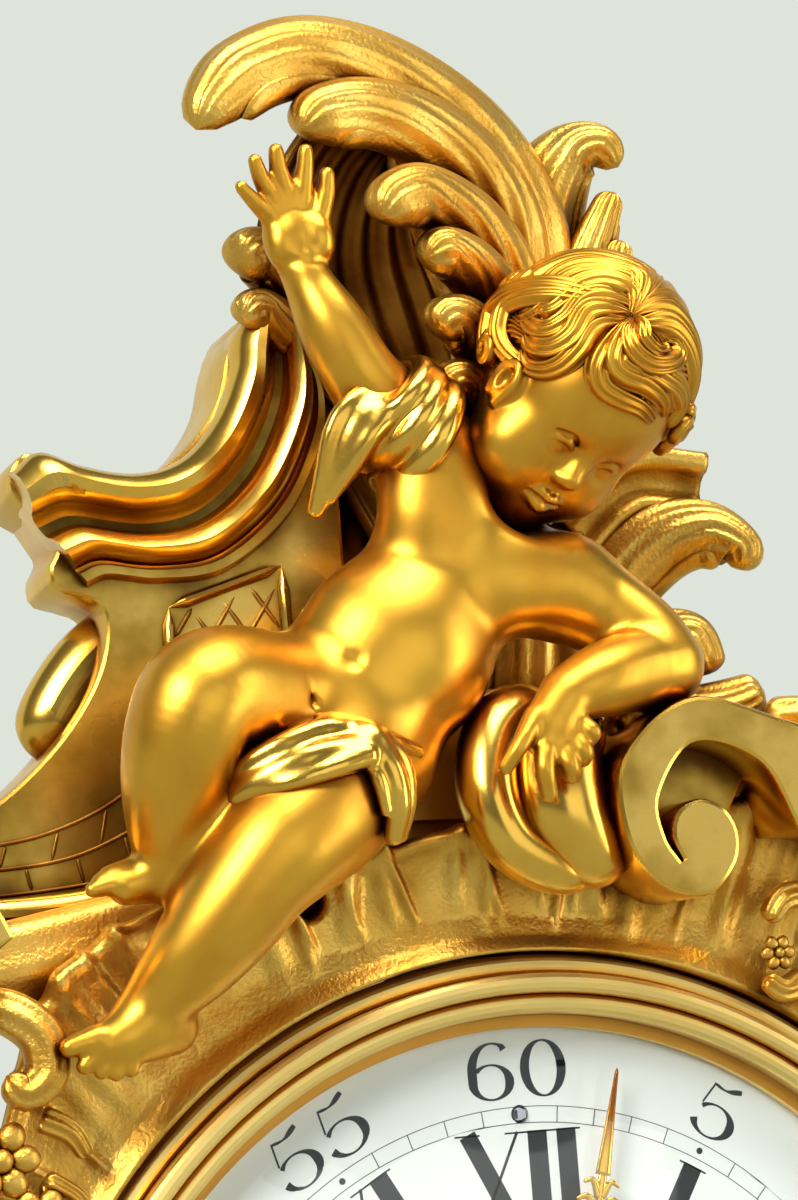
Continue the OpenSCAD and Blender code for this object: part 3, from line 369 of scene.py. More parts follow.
def coating(name, tone, rough, grain=6.0, change=0.03, depth=0.02):
    """Enamel, paint or cloth: one colour with a faint unevenness."""
    m, t, co = finish_tree(name)
    cloud = add(t, "ShaderNodeTexNoise", {"Vector": co, "Scale": 1000/grain, "Detail": 3.0})
    c = colour(tone)
    dark = [v*(1 - 2*change) for v in c[:3]] + [1.0]
    base = add(t, "ShaderNodeValToRGB", {"Fac": cloud}, stops=((0.3, dark), (0.7, c)))
    bump = add(t, "ShaderNodeBump", {"Height": cloud, "Distance": depth/1000})
    s = add(t, "ShaderNodeBsdfPrincipled", {"Base Color": base, "Roughness": rough, "Normal": bump})
    add(t, "ShaderNodeOutputMaterial", {"Surface": s})
    return m


def clear_glass(wave=60, depth=0.2):
    """Domed glass: clear, with a mirror sheen that grows towards its edge, and no shadow on the dial."""
    m, t, co = finish_tree("domed clear glass")
    waves = add(t, "ShaderNodeTexNoise", {"Vector": co, "Scale": 1000/wave, "Detail": 1.0})
    bump = add(t, "ShaderNodeBump", {"Height": waves, "Distance": depth/1000})
    body = add(t, "ShaderNodeBsdfPrincipled", {"Base Color": colour("#FDFFFE"), "Roughness": 0.02,
                                               "IOR": 1.45, "Transmission Weight": 1.0, "Normal": bump})
    clear = add(t, "ShaderNodeBsdfTransparent", {"Color": colour("#FCFEFD")})
    path = add(t, "ShaderNodeLightPath").outputs
    light = add(t, "ShaderNodeMath", {0: path["Is Shadow Ray"], 1: path["Is Diffuse Ray"]},
                operation="MAXIMUM")
    mix = add(t, "ShaderNodeMixShader", {0: light, 1: body, 2: clear})
    add(t, "ShaderNodeOutputMaterial", {"Surface": mix})
    return m


# Satin gilding of the figure's skin: soft, broad lights that follow the modelling
skin_gilt = gilt("satin gilding", "#E9B23C", "#CA8A26", "#78400A", 0.36, grain=0.25, depth=0.008, reach=6,
                 lacquer=0.08)
# Stippled matte gilding of leaves and shell work: a sandy grain that breaks the lights up,
# drawn coarser than the real stipple so that it shows
leaf_gilt = gilt("stippled matte gilding", "#E8BC58", "#D09C38", "#6A380C", 0.40, grain=0.8, depth=0.17,
                 reach=6, mottle=0.3, lacquer=0.05)
# Plain gilding of the case behind the ornament: even and quiet
case_gilt = gilt("plain rubbed gilding", "#DDB65E", "#C2923A", "#5A300C", 0.36, grain=0.3, depth=0.006,
                 reach=7, mottle=0.10, lacquer=0.1)
# Brown, unburnished gilding darkened further as painted shade, for the deep hollows and the incised lines:
# dark, so that the forms before it stand out
shade_painted_gilt = gilt("gilding darkened as painted shade", "#A87A30", "#7E4E16", "#34190A", 0.44, grain=0.3, depth=0.05,
                   reach=9, mottle=0.4, lacquer=0.0)
# Burnished gilding of scrolls, mouldings and drapery: sharp, bright lights
bright_gilt = gilt("burnished gilding", "#F2C452", "#DCA034", "#84440A", 0.22, grain=0.3, depth=0.003,
                   reach=5, lacquer=0.15)
# Brushed pale gilding of flat faces: a streaky, greener sheen with patches of wear; its darker tone is partly
# painted shade
flat_gilt = gilt("brushed gilding", "#C4A450", "#A08230", "#50340E", 0.30, grain=0.5, depth=0.014, reach=6,
                 mottle=0.45, lacquer=0.1, brushed=True)
# Lathe-turned gilding of the bezel, painted paler than the other gilding as painted light, and bright in its
# grooves too
turned_gilt = gilt("turned gilding", "#F8DA84", "#F0C45E", "#CC9034", 0.46, grain=0.3, depth=0.006,
                   reach=1.5, mottle=0.1, lacquer=0.1)
# Clear-lacquered wheels and plates, browner bell metal and cool grey arbors and screws
movement_brass = plain_metal("lacquered movement brass", "#D8B568", 0.28)
bell_metal = plain_metal("bell bronze", "#C9A86A", 0.22)
bright_steel = plain_metal("polished steel", "#B9BCC0", 0.22)
# Glassy white dial with soft black figures, and dull red cloth that swallows the light behind the fret,
# its weave drawn coarser than real silk so that it shows
enamel = coating("white dial enamel", "#F8F9F5", 0.12, change=0.01)
ink = coating("black dial enamel", "#1C1E20", 0.3)
silk = coating("crimson silk", "#6A1720", 0.75, grain=0.8, change=0.25)
glass = clear_glass()


def dress(node, finish):
    """Give a CAD node its finish."""
    obj = frame["nodes"][node]
    obj.data.materials.clear()
    obj.data.materials.append(finish)


groups = {
    case_gilt: "case_drum pendulum_box",
    leaf_gilt: "apron_leaf flower_sprays rocaille_surround crest_leaf crest_side_leaf right_wing",
    bright_gilt: "sound_fret apron_scrolls left_cartouche right_c_scroll left_c_scroll scroll_bolster "
                 "minute_hand hour_hand putto_drapery",
    turned_gilt: "bezel_ring",
    skin_gilt: "putto_body putto_head putto_raised_arm putto_resting_arm putto_bent_leg putto_long_leg",
    movement_brass: "back_plate front_plate rear_plate plate_pillars movement_straps winding_eyelets "
                    "suspension_cock hour_wheel minute_wheel going_barrel strike_barrel centre_arbor "
                    "third_wheel escape_wheel pin_wheel fly pendulum_bob rating_nut rear_door",
    bell_metal: "bell",
    bright_steel: "case_screws bell_post hinge_pins cannon_pinion going_arbor strike_arbor anchor "
                  "suspension_block pendulum_rod bell_hammer rear_latch regulator_arbor",
    enamel: "dial",
    glass: "bezel_glass",
    silk: "fret_silk",
}
for finish, names in groups.items():
    for node in names.split():
        dress(node, finish)


def ring_tree():
    """Geometry nodes that set copies of a part round a circle, each turned outwards."""
    t = bpy.data.node_groups.new("ring of parts", "GeometryNodeTree")
    for name, kind in (("Part", "Object"), ("Count", "Int"), ("Radius", "Float"), ("Every", "Int"),
                       ("First", "Int"), ("Finish", "Material")):
        t.interface.new_socket(name, in_out="INPUT", socket_type="NodeSocket" + kind)
    t.interface.new_socket("Geometry", in_out="OUTPUT", socket_type="NodeSocketGeometry")
    given = add(t, "NodeGroupInput").outputs
    ring = add(t, "GeometryNodeMeshCircle", {"Vertices": given["Count"], "Radius": given["Radius"]})
    part = add(t, "GeometryNodeObjectInfo", {"Object": given["Part"]})
    index = add(t, "GeometryNodeInputIndex").outputs[0]
    step = add(t, "ShaderNodeMath", {0: 2*math.pi, 1: given["Count"]}, operation="DIVIDE")
    angle = add(t, "ShaderNodeMath", {0: index, 1: step}, operation="MULTIPLY")
    turn = add(t, "ShaderNodeCombineXYZ", {"Z": angle})
    place = add(t, "ShaderNodeMath", {0: index, 1: given["Every"]}, operation="MODULO")
    over = add(t, "ShaderNodeMath", {0: place, 1: 0.5}, operation="ADD")
    keep = add(t, "ShaderNodeMath", {0: over, 1: given["First"]}, operation="GREATER_THAN")
    copies = add(t, "GeometryNodeInstanceOnPoints", {"Points": ring, "Selection": keep, "Rotation": turn,
                                                     "Instance": part.outputs["Geometry"]})
    real = add(t, "GeometryNodeRealizeInstances", {"Geometry": copies})
    done = add(t, "GeometryNodeSetMaterial", {"Geometry": real, "Material": given["Finish"]})
    add(t, "NodeGroupOutput", {"Geometry": done})
    return t


RING = ring_tree()


def ring_of(part, count, radius, finish, every=1, first=0):
    """Copies of a part round a circle; of each run of every copies, those before first are left out."""
    names = ("one of a ring", "ring")
    meshes = [bpy.data.meshes.new(n) for n in names]
    meshes[0].from_pydata(arr(part[0]).tolist(), [], part[1])
    single, ring = [put(n, m) for n, m in zip(names, meshes)]
    values = {"Part": single, "Count": count, "Radius": float(radius), "Every": every, "First": first,
              "Finish": finish}
    turns = ring.modifiers.new("ring of parts", "NODES")
    turns.node_group = RING
    for socket in RING.interface.items_tree:
        if socket.in_out == "INPUT":
            turns[socket.identifier] = values[socket.name]
    baked = bpy.data.meshes.new_from_object(ring.evaluated_get(bpy.context.evaluated_depsgraph_get()))
    ring.modifiers.clear()
    v = np.empty(3*len(baked.vertices))
    baked.vertices.foreach_get("co", v)
    faces = [list(p.vertices) for p in baked.polygons]
    for obj in (single, ring):
        bpy.data.objects.remove(obj)
    for mesh in meshes + [baked]:
        bpy.data.meshes.remove(mesh)
    return v.reshape(-1, 3), faces


# Cast cherub

def cherub_figure():
    """Torso, arms and legs as one smooth casting."""
    clay = Clay((-97, 76, 82), (42, 257, 140), 0.585)
    across, down = unit((0.70, -0.71, 0.06)), unit((-0.70, -0.70, 0.05))
    body = np.stack([across, down, np.cross(across, down)])
    # Rib cage, belly, pelvis and breast
    clay.egg((-4, 176, 99), (17.5, 17, 12), 5, body)
    clay.egg((-20.5, 157, 101.5), (18.5, 19, 14.5), 9, body)
    clay.egg((-34, 143, 100), (18.5, 14, 14.5), 9, body)
    clay.egg((-13, 183, 105.6), (8.5, 8, 6), 7, body)
    clay.egg((3.5, 168.5, 107), (8.5, 8, 6), 7, body)
    clay.chain([(-11, 193.5, 100, 9.6), (-1, 182, 96.5, 9), (13.5, 168.5, 102, 9.8)], 7)
    clay.chain([(-1, 184, 95, 8.5), (9, 196, 93, 8.5)], 6)
    # Hollow under the chin
    clay.egg((10.5, 184.5, 107), (11.5, 8.5, 10), 5, cut=True)
    # Raised arm, palm and fingers
    clay.chain([(-10, 194.5, 100, 9.2), (-18, 202, 102, 8.2), (-24, 209, 104, 7.0),
                (-28.6, 217.5, 104.3, 6.5), (-32, 225, 104, 4.9), (-33.6, 229, 104, 4.4)], 4)
    clay.egg((-34.6, 235.5, 104), (6.0, 7.6, 3.6), 2.2, [(0.97, 0.24, 0), (-0.24, 0.97, 0), (0, 0, 1)])
    clay.egg((-30.6, 234.6, 105.4), (3.1, 4.8, 3.2), 1.6, [(0.98, 0.2, 0), (-0.2, 0.98, 0), (0, 0, 1)])
    clay.egg((-37.6, 233.6, 105), (3.0, 4.4, 3.0), 1.8)
    for b, k, t, r in (((-39.2, 238.6), (-42.8, 241.2), (-45.4, 243.6), 1.55),
                       ((-38, 240.8), (-41, 245.2), (-42.4, 248.6), 1.7),
                       ((-35.8, 241.8), (-37.6, 247), (-38.2, 250.6), 1.8),
                       ((-33.2, 241.4), (-32.6, 247), (-32.4, 250.6), 1.8),
                       ((-30.2, 237.6), (-28.9, 242.6), (-28.6, 246.2), 1.8)):
        clay.chain([(*b, 105, r + 0.5), (*k, 106.6, r), (*t, 107.6, 0.8*r)], 0.9)
    # Resting arm, hand and fingers
    clay.chain([(12, 169, 102, 9.4), (20, 163, 105, 8.7), (26.5, 156.5, 108.5, 8.0),
                (29, 151.6, 110.5, 7.4)], 4)
    clay.chain([(28.6, 151.4, 110.5, 7.4), (22, 150.4, 113.4, 7.5), (14, 148.4, 117, 6.8),
                (6, 145.6, 119, 5.2)], 2.0)
    clay.egg((2.2, 140.6, 120.5), (5.2, 7.2, 4.2), 2.5, [(0.86, -0.5, 0), (0.5, 0.86, 0), (0, 0, 1)])
    for b, k, t, r in (((-1.5, 141.5), (-5.5, 136.5), (-8.2, 132.6), 1.7),
                       ((0.2, 137.2), (-1.2, 132), (-0.4, 127.4), 2.0),
                       ((2.8, 136.6), (3.6, 132.4), (4.4, 130.6), 2.0),
                       ((5.2, 138), (6.6, 134.8), (6.8, 133.4), 1.8),
                       ((6.6, 140.2), (8.6, 138.2), (8.6, 137), 1.6)):
        clay.chain([(*b, 121.5, r + 0.5), (*k, 123.4, r), (*t, 122.2, 0.85*r)], 0.9)
    # Bent leg and foot
    clay.chain([(-40, 145, 101, 13.5), (-52, 148.4, 109, 13), (-61, 148.2, 115.6, 11.8),
                (-65, 143, 116.4, 11), (-67, 135, 113.6, 9.8), (-67.5, 127, 110, 8.0),
                (-67, 120, 107, 6.0)], 5)
    clay.chain([(-62.5, 117.4, 104.5, 5.2), (-70, 117.4, 107.5, 4.6), (-76, 116, 108.5, 3.4)], 3)
    for k, (dx, du) in enumerate(((0, 0), (1.6, 1.6), (3.4, 2.8))):
        clay.chain([(-75 + dx, 116.4 + du, 108.5 - k, 2.4), (-79.5 + dx, 116.2 + du, 109.5 - k, 1.8),
                    (-82.6 + dx, 115.6 + du, 110 - k, 1.4)], 1.0)
    # Long leg and foot
    clay.chain([(-30, 137.5, 101, 14.6), (-40, 129, 111, 13.8), (-48, 122.5, 116, 12),
                (-54, 117, 117.2, 10.6), (-60, 110, 116.3, 9.9), (-66, 103, 114.8, 8.4),
                (-71.5, 97, 112.6, 6.4), (-74.5, 93.5, 111.5, 5.6)], 5)
    clay.chain([(-70, 91, 108.5, 5.2), (-77, 90, 111.5, 5.3), (-82.5, 88.5, 112.5, 4.0)], 2.5)
    for b, t, r in (((-84.5, 89.6), (-89.4, 88.4), 2.1), ((-84, 87.6), (-87, 85), 1.7),
                    ((-82, 86.6), (-84, 83.8), 1.6),
                    ((-80, 86.2), (-81.4, 83.2), 1.5), ((-77.8, 86.4), (-78.6, 83.6), 1.4)):
        clay.chain([(*b, 113.6, r + 0.4), (*t, 114, 0.85*r)], 0.8)
    # Navel, wrist fold and the fold between belly and thigh
    clay.egg((-32.7, 154.3, 117.5), (1.5, 1.5, 3.2), 2.2, cut=True)
    for line in ([(-37, 229.6, 107.6), (-33.4, 229.2, 109.2), (-29.6, 230, 107.6)],
                 [(-45, 158, 112), (-44, 152, 116.6), (-42, 146, 117.4)]):
        clay.chain([(*p, 0.4) for p in line], 1.4, cut=True)
    return clay.part()


# Middle of the head, its directions to the left, crown and face, and the skull in those directions
HEAD_AT = arr((14.4, 202.8, 105.8))
HEAD_AXES = np.stack([unit((0.8337, -0.3159, -0.4533)), unit((0.5483, 0.5737, 0.6087)),
                      unit((0.0677, -0.7557, 0.6513))])
SKULL_AT, SKULL_R = arr((2.0, 7.0, -3.4)), arr((18.4, 19.2, 20.4))


def from_head(p):
    """Head coordinates (to its left, to its crown, to its face) to clock millimetres."""
    return HEAD_AT + arr(p) @ HEAD_AXES


def head_way(turn, height):
    """Direction on the head from degrees of turn from the face and height."""
    a, b = math.radians(turn), math.radians(height)
    return arr((math.sin(a)*math.cos(b), math.sin(b), math.cos(a)*math.cos(b)))


def on_skull(way, lift):
    """Points above the skull by a lift, in directions from its middle."""
    return SKULL_AT + way/np.linalg.norm(way/(SKULL_R + lift), axis=-1, keepdims=True)


def cherub_head():
    """A calm, generic cherub's head without its hair."""
    clay = Clay((-10, 176, 80), (46, 236, 132), 0.34)

    def egg(c, r, blend, cut=False):
        clay.egg(from_head(c), r, blend, HEAD_AXES, cut)

    def chain(rows, blend, cut=False):
        clay.chain([(*from_head(p[:3]), p[3]) for p in rows], blend, cut)

    # Skull, face, forehead, chin and jaw
    egg(SKULL_AT, SKULL_R, 4)
    egg((0, -5, 4.5), (14.6, 15.5, 12.4), 6)
    egg((0, 7.0, 8.0), (12.5, 10, 8.6), 6)
    egg((1.6, -17.4, 10.0), (4.6, 3.8, 4.4), 5)
    egg((0.6, -13.4, 4), (11.8, 8, 9), 6)
    for k in (-1, 1):
        # Cheek
        egg((8.8*k, -8.8, 8.8), (6.8, 6.8, 6.4), 5)
        # Eye socket, ball, lids and the crease above
        egg((6.3*k, -1.4, 18.8), (3.8, 2.0, 3.0), 3.2, cut=True)
        egg((6.2*k, -1.7, 13.4), (3.0, 2.3, 2.5), 0.9)
        chain([(3.0*k, -2.3, 15.2, 0.4), (4.6*k, -0.5, 16.0, 0.62), (6.4*k, 0.0, 16.0, 0.66),
               (8.4*k, -0.8, 14.9, 0.56), (9.4*k, -2.0, 13.7, 0.36)], 0.5)
        chain([(3.2*k, -2.9, 15.0, 0.36), (6.0*k, -3.9, 15.1, 0.5), (9.0*k, -2.5, 13.7, 0.36)], 0.6)
        chain([(3.4*k, 0.2, 15.9, 0.2), (6.0*k, 1.6, 16.2, 0.24), (8.8*k, 0.6, 14.6, 0.2)], 0.7, cut=True)
        # Side of the nose and nostril
        egg((1.7*k - 1.0, -6.4, 17.0), (1.25, 1.1, 1.4), 1.3)
        egg((1.0*k - 1.0, -7.2, 17.9), (0.45, 0.4, 0.8), 0.5, cut=True)
        # Ear with its rim and hollow
        ear = arr((15.4*k, -0.6, 3.4 if k < 0 else -1.0))
        egg(ear, (2.6, 5.0, 3.8), 1.2)
        egg(ear + (2.0*k, 0.6, 0.6), (1.3, 2.4, 1.5), 0.8, cut=True)
        chain([(*(ear + p), r) for p, r in ((arr((0.9*k, -4.2, 2.0)), 0.8), (arr((1.4*k, 1.0, 2.9)), 0.7),
                                            (arr((1.6*k, 3.8, 0.6)), 0.85),
                                            (arr((1.4*k, 1.6, -2.8)), 0.9),
                                            (arr((0.8*k, -3.8, -1.6)), 1.0))], 0.7)
    # Nose, lips, the line between them and the groove above
    chain([(0, 1.4, 15.4, 1.0), (-0.5, -2.2, 17.0, 1.25), (-1.0, -5.2, 18.9, 1.75)], 2.6)
    chain([(-4.4, -11.8, 15.0, 0.5), (-2.2, -10.9, 16.8, 0.9), (-0.6, -11.2, 17.3, 0.8),
           (1.0, -10.9, 17.0, 0.9), (3.2, -11.8, 15.4, 0.5)], 1.3)
    chain([(-3.6, -13.0, 15.0, 0.6), (-0.6, -13.7, 16.7, 1.25), (2.4, -13.0, 15.2, 0.6)], 1.3)
    chain([(-4.6, -12.2, 15.6, 0.3), (-0.6, -12.3, 17.8, 0.3), (3.4, -12.2, 15.9, 0.3)], 0.6, cut=True)
    egg((-0.8, -9.0, 18.0), (0.7, 1.0, 0.5), 0.9, cut=True)
    return clay.part()


def cherub_hair():
    """Hair combed in long waves from a whorl above the brow, with separate locks and curls at the edge."""
    whorl = head_way(-46, 53)
    east = unit(np.cross((0, 1, 0), whorl))
    north = np.cross(whorl, east)
    # Edge of the hair as (turn, height) degrees on the skull
    edge = [(-180, -44), (-140, -40), (-112, -30), (-95, -24), (-80, -14), (-66, -6), (-54, 4), (-50, 22),
            (-44, 33), (-36, 25), (-26, 13), (-7, 12), (12, 14), (32, 12), (52, 4), (70, -6), (90, -18),
            (110, -28), (140, -40)]
    edge = np.stack([head_way(*e) for e in edge])
    bearing, far = np.arctan2(edge @ north, edge @ east), np.arccos(np.clip(edge @ whorl, -1, 1))
    order = np.argsort(bearing)
    strands, across, along = 84, 6, 70
    n = strands*across
    b = np.linspace(-np.pi, np.pi, n, endpoint=False)
    reach = np.interp(b, bearing[order], far[order], period=2*np.pi)
    swell = np.sin(np.pi*(np.arange(across) + 0.5)/across)
    height = np.repeat(rng.uniform(0.4, 0.9, strands), across)*np.tile(swell, strands)
    rows = []
    for s in np.linspace(0, 1, along):
        bend = b + 0.16*np.sin(7.5*s*reach + 2*b)*min(1, 3*s)
        away = np.cos(bend)[:, None]*east + np.sin(bend)[:, None]*north
        way = np.cos(s*reach)[:, None]*whorl + np.sin(s*reach)[:, None]*away
        lift = (1.0 + height)*min(1, 8*s)*min(1, 7*(1 - s)) - 0.8*(s > 0.999)
        rows.append(from_head(on_skull(way, lift[:, None])))
    # Its inside runs to one point in the skull, so that the shell is closed
    rows.append(np.tile(from_head(SKULL_AT), (n, 1)))
    parts = [(np.vstack(rows), grid_faces(along + 1, n, wrap_m=True))]
    # Waved locks laid over it: (turn, height) on the skull, half width, lift
    locks = (
        ([(-130, 78), (-134, 60), (-134, 44), (-130, 30), (-126, 16), (-124, 4)], 4.2, 1.6),
        ([(-99, 74), (-110, 59), (-114, 45), (-111, 33), (-106, 24), (-108, 12)], 3.9, 1.9),
        ([(-80, 70), (-98, 57), (-100, 43), (-97, 31), (-94, 23), (-102, 13)], 3.2, 1.5),
        ([(-66, 64), (-86, 54), (-88, 41), (-84, 29), (-85, 20), (-97, 12)], 3.5, 2.0),
        ([(-66, 58), (-90, 47), (-93, 34), (-90, 22), (-91, 9), (-99, 1)], 3.4, 1.0),
        ([(-56, 58), (-72, 48), (-75, 37), (-70, 25), (-73, 13), (-85, 7), (-95, 8)], 3.3, 1.7),
        ([(-51, 53), (-63, 43), (-66, 34), (-60, 21), (-63, 9), (-74, 2), (-84, 4)], 3.2, 2.2),
        ([(-49, 46), (-56, 38), (-57, 30), (-53, 19), (-53, 7), (-58, -2), (-67, -7), (-78, -4)], 2.9, 1.7),
        ([(-106, 6), (-102, -7), (-90, -13), (-75, -12), (-64, -7)], 2.8, 2.0),
        ([(-120, -4), (-114, -18), (-102, -25), (-86, -24)], 3.0, 2.2),
        ([(-45, 46), (-42, 33), (-38, 20), (-30, 14), (-19, 15), (-5, 17), (10, 14)], 2.9, 1.4),
        ([(-40, 40), (-34, 28), (-26, 26), (-12, 29), (6, 27), (16, 19)], 3.2, 2.2),
        ([(-24, 36), (-8, 36), (12, 35), (26, 27), (28, 13)], 3.4, 2.0),
        ([(-42, 50), (-40, 42), (-30, 36), (-17, 36), (-4, 42), (8, 50), (4, 57), (-10, 56)], 2.7, 2.8),
        ([(-36, 51), (-29, 44), (-18, 43), (-8, 48), (-9, 53)], 2.0, 3.0),
        ([(-34, 56), (-8, 65), (20, 62), (38, 50), (46, 34), (42, 16)], 3.8, 1.6),
        ([(-40, 65), (-4, 76), (45, 67), (60, 48), (64, 28), (58, 8)], 4.0, 1.6),
        ([(-50, 72), (-20, 86), (90, 74), (92, 50), (90, 28), (82, 4)], 4.2, 1.6),
        ([(150, 84), (120, 70), (114, 50), (112, 28), (108, 6), (100, -12)], 4.3, 1.8),
        ([(170, 82), (146, 62), (140, 42), (138, 18), (134, -4), (126, -20)], 4.4, 1.8),
        ([(-170, 80), (-162, 60), (-158, 40), (-156, 18), (-158, -4), (-150, -22)], 4.4, 1.8),
        ([(176, 76), (170, 54), (168, 32), (172, 8), (166, -14), (170, -32)], 4.4, 1.8))
    for line, width, lift in locks:
        s = np.linspace(0, 1, 30)
        way = unit(smooth_line([whorl] + [head_way(*p) for p in line], len(s)))
        high = 0.2 + lift*np.sin(np.pi*np.clip(0.10 + 0.90*s, 0, 1))**0.7
        p = on_skull(way, high[:, None])
        fade = np.clip(0.3 + 2.4*s, 0, 1)*(1 - 0.5*s**3)
        rows = np.column_stack([from_head(p), width*fade, 1.6*fade])
        parts.append(lobe(rows, out=way @ HEAD_AXES, ribs=3, cup=0.12, rib=0.36, n=50, m=44, tip=0.10,
                          root=0.24))
    # Curls: turn, height, radius, hand
    for turn, low, r, hand in ((-126, 8, 3.2, 1), (-96, -20, 2.6, -1), (40, 16, 3.4, 1), (58, 4, 3.4, -1),
                               (76, -8, 3.6, 1), (100, -20, 3.6, -1)):
        d = head_way(turn, low)
        e1 = unit(np.cross(d, (0, 1, 0)))
        e2 = np.cross(e1, d)
        centre = on_skull(d, 1.2)
        s = np.linspace(0, 1, 18)
        w, q = hand*2.9*np.pi*s + 1.2, r*(1 - 0.8*s)
        p = centre + (q*np.cos(w))[:, None]*e1 + (q*np.sin(w))[:, None]*e2 + (0.2 + 1.6*s)[:, None]*d
        rows = np.column_stack([from_head(p), 1.9 - 0.8*s, 1.7 - 0.6*s])
        parts.append(lobe(rows, out=d @ HEAD_AXES, ribs=2, cup=0.1, rib=0.2, n=60, m=24, tip=0.1, root=0.1))
    return parts


def cherub_drapery():
    """Scarf round the raised arm with a turned-back end, and a loin sash with a hanging tail."""
    clay = Clay((-68, 104, 88), (4, 216, 132), 0.45)
    arm = unit((-14, 13.5, 4))
    e1 = unit(np.cross(arm, (0, 0, 1)))
    e2 = np.cross(e1, arm)
    # Rounded folds round the arm
    for at, r, thick, slant in ((-1.0, 10.4, 2.6, 2.4), (3.8, 9.9, 2.8, 1.0), (8.0, 9.0, 2.2, -0.6)):
        w = np.linspace(0, 2*np.pi, 20)
        centre = arr((-13.5, 198.5, 101.5)) + at*arm
        ring = centre + r*(np.cos(w)[:, None]*e1 + np.sin(w)[:, None]*e2) + slant*np.cos(w)[:, None]*arm
        clay.chain(np.column_stack([ring, thick + 0.5*np.sin(w + at)]), 1.6)
    # End that falls from the arm as a flat cloth with a turned edge
    clay.chain([(-20, 203, 106, 4.4), (-26, 198, 107.6, 4.8), (-30, 191, 106.6, 3.6),
                (-34.6, 183.2, 104.6, 1.2)], 2.2)
    clay.chain([(-22.4, 206.4, 107.4, 1.6), (-29, 202, 109.6, 1.5), (-32.4, 197, 109.6, 1.4),
                (-34, 190, 107.6, 1.2), (-35.2, 183, 105, 0.9)], 1.8)
    clay.chain([(-21, 200, 110.4, 1.6), (-25, 196, 111.6, 1.5), (-28.6, 190.6, 109.8, 1.2),
                (-32.4, 185, 107, 0.8)], 1.6)
    # Sash across the lap: a thin cloth with a few soft folds
    for line in ([(-61, 130.4, 113, 1.6), (-56, 135.2, 119.4, 2.0), (-49, 138.6, 122.4, 2.2),
                  (-41, 140.8, 121.4, 2.4), (-34, 139.4, 120, 2.6)],
                 [(-60, 128.4, 114.6, 2.2), (-54, 132.2, 121, 2.6), (-46, 135.4, 123.8, 2.8),
                  (-38, 136.8, 123.2, 2.8), (-33, 137, 121.8, 2.8)],
                 [(-57, 129.4, 119, 1.4), (-50, 131.2, 124.6, 1.6), (-42, 133.4, 126, 1.8),
                  (-35, 135.4, 124.6, 2.2)],
                 [(-47, 141.4, 119.6, 1.2), (-40, 142.6, 119.6, 1.6), (-34, 141, 119, 2.0),
                  (-28, 138.6, 117, 2.0), (-22, 137, 113, 1.6)]):
        clay.chain(line, 1.8)
    # Knot and the hanging tail, folded in two
    clay.egg((-33.6, 138.8, 121.6), (3.6, 3.4, 3.0), 1.6)
    clay.chain([(-33, 138, 122.4, 2.6), (-30.4, 132.6, 123.4, 2.7), (-29.4, 127, 122.8, 2.5),
                (-29.8, 121.6, 120.8, 1.9)], 1.2)
    clay.chain([(-31, 139.4, 121, 1.8), (-27.6, 134, 120.8, 2.2), (-26.8, 127.6, 119.6, 2.1),
                (-27.8, 121.8, 118.2, 1.5)], 1.0)
    clay.chain([(-35, 137, 123, 1.2), (-33.2, 131, 124.8, 1.3), (-32, 125.6, 124, 1.0)], 0.9)
    return clay.part()


# Acanthus leaves, cartouche, scrolls and shell border

# Where the front of the leaves on the left and on the right looks
LEFT_OUT, RIGHT_OUT = (-0.35, 0.15, 0.92), (0.1, 0.1, 1)


def strand(rows, out, lip=1):
    """A rolled strand of a leaf with fine combed grooves, and the thin turned edge under it."""
    q, out = arr(rows), unit(out)
    edge = q.copy()
    edge[:, :3] -= lip*np.cross(unit(np.gradient(q[:, :3], axis=0)), out)*q[:, 3:4] + 1.6*out
    edge[:, 3:] *= (0.34, 0.6)
    return [lobe(q, out=out, ribs=4, cup=0.24, rib=0.34, n=72, m=56, tip=0.09, root=0.05),
            lobe(edge[:-1], out=out, ribs=1, cup=0.1, rib=0.2, n=60, m=24, tip=0.06, root=0.05)]


def leaf_of(strands, out, lip=1):
    """All strands of a leaf, one after another."""
    return [part for rows in strands for part in strand(rows, out, lip)]


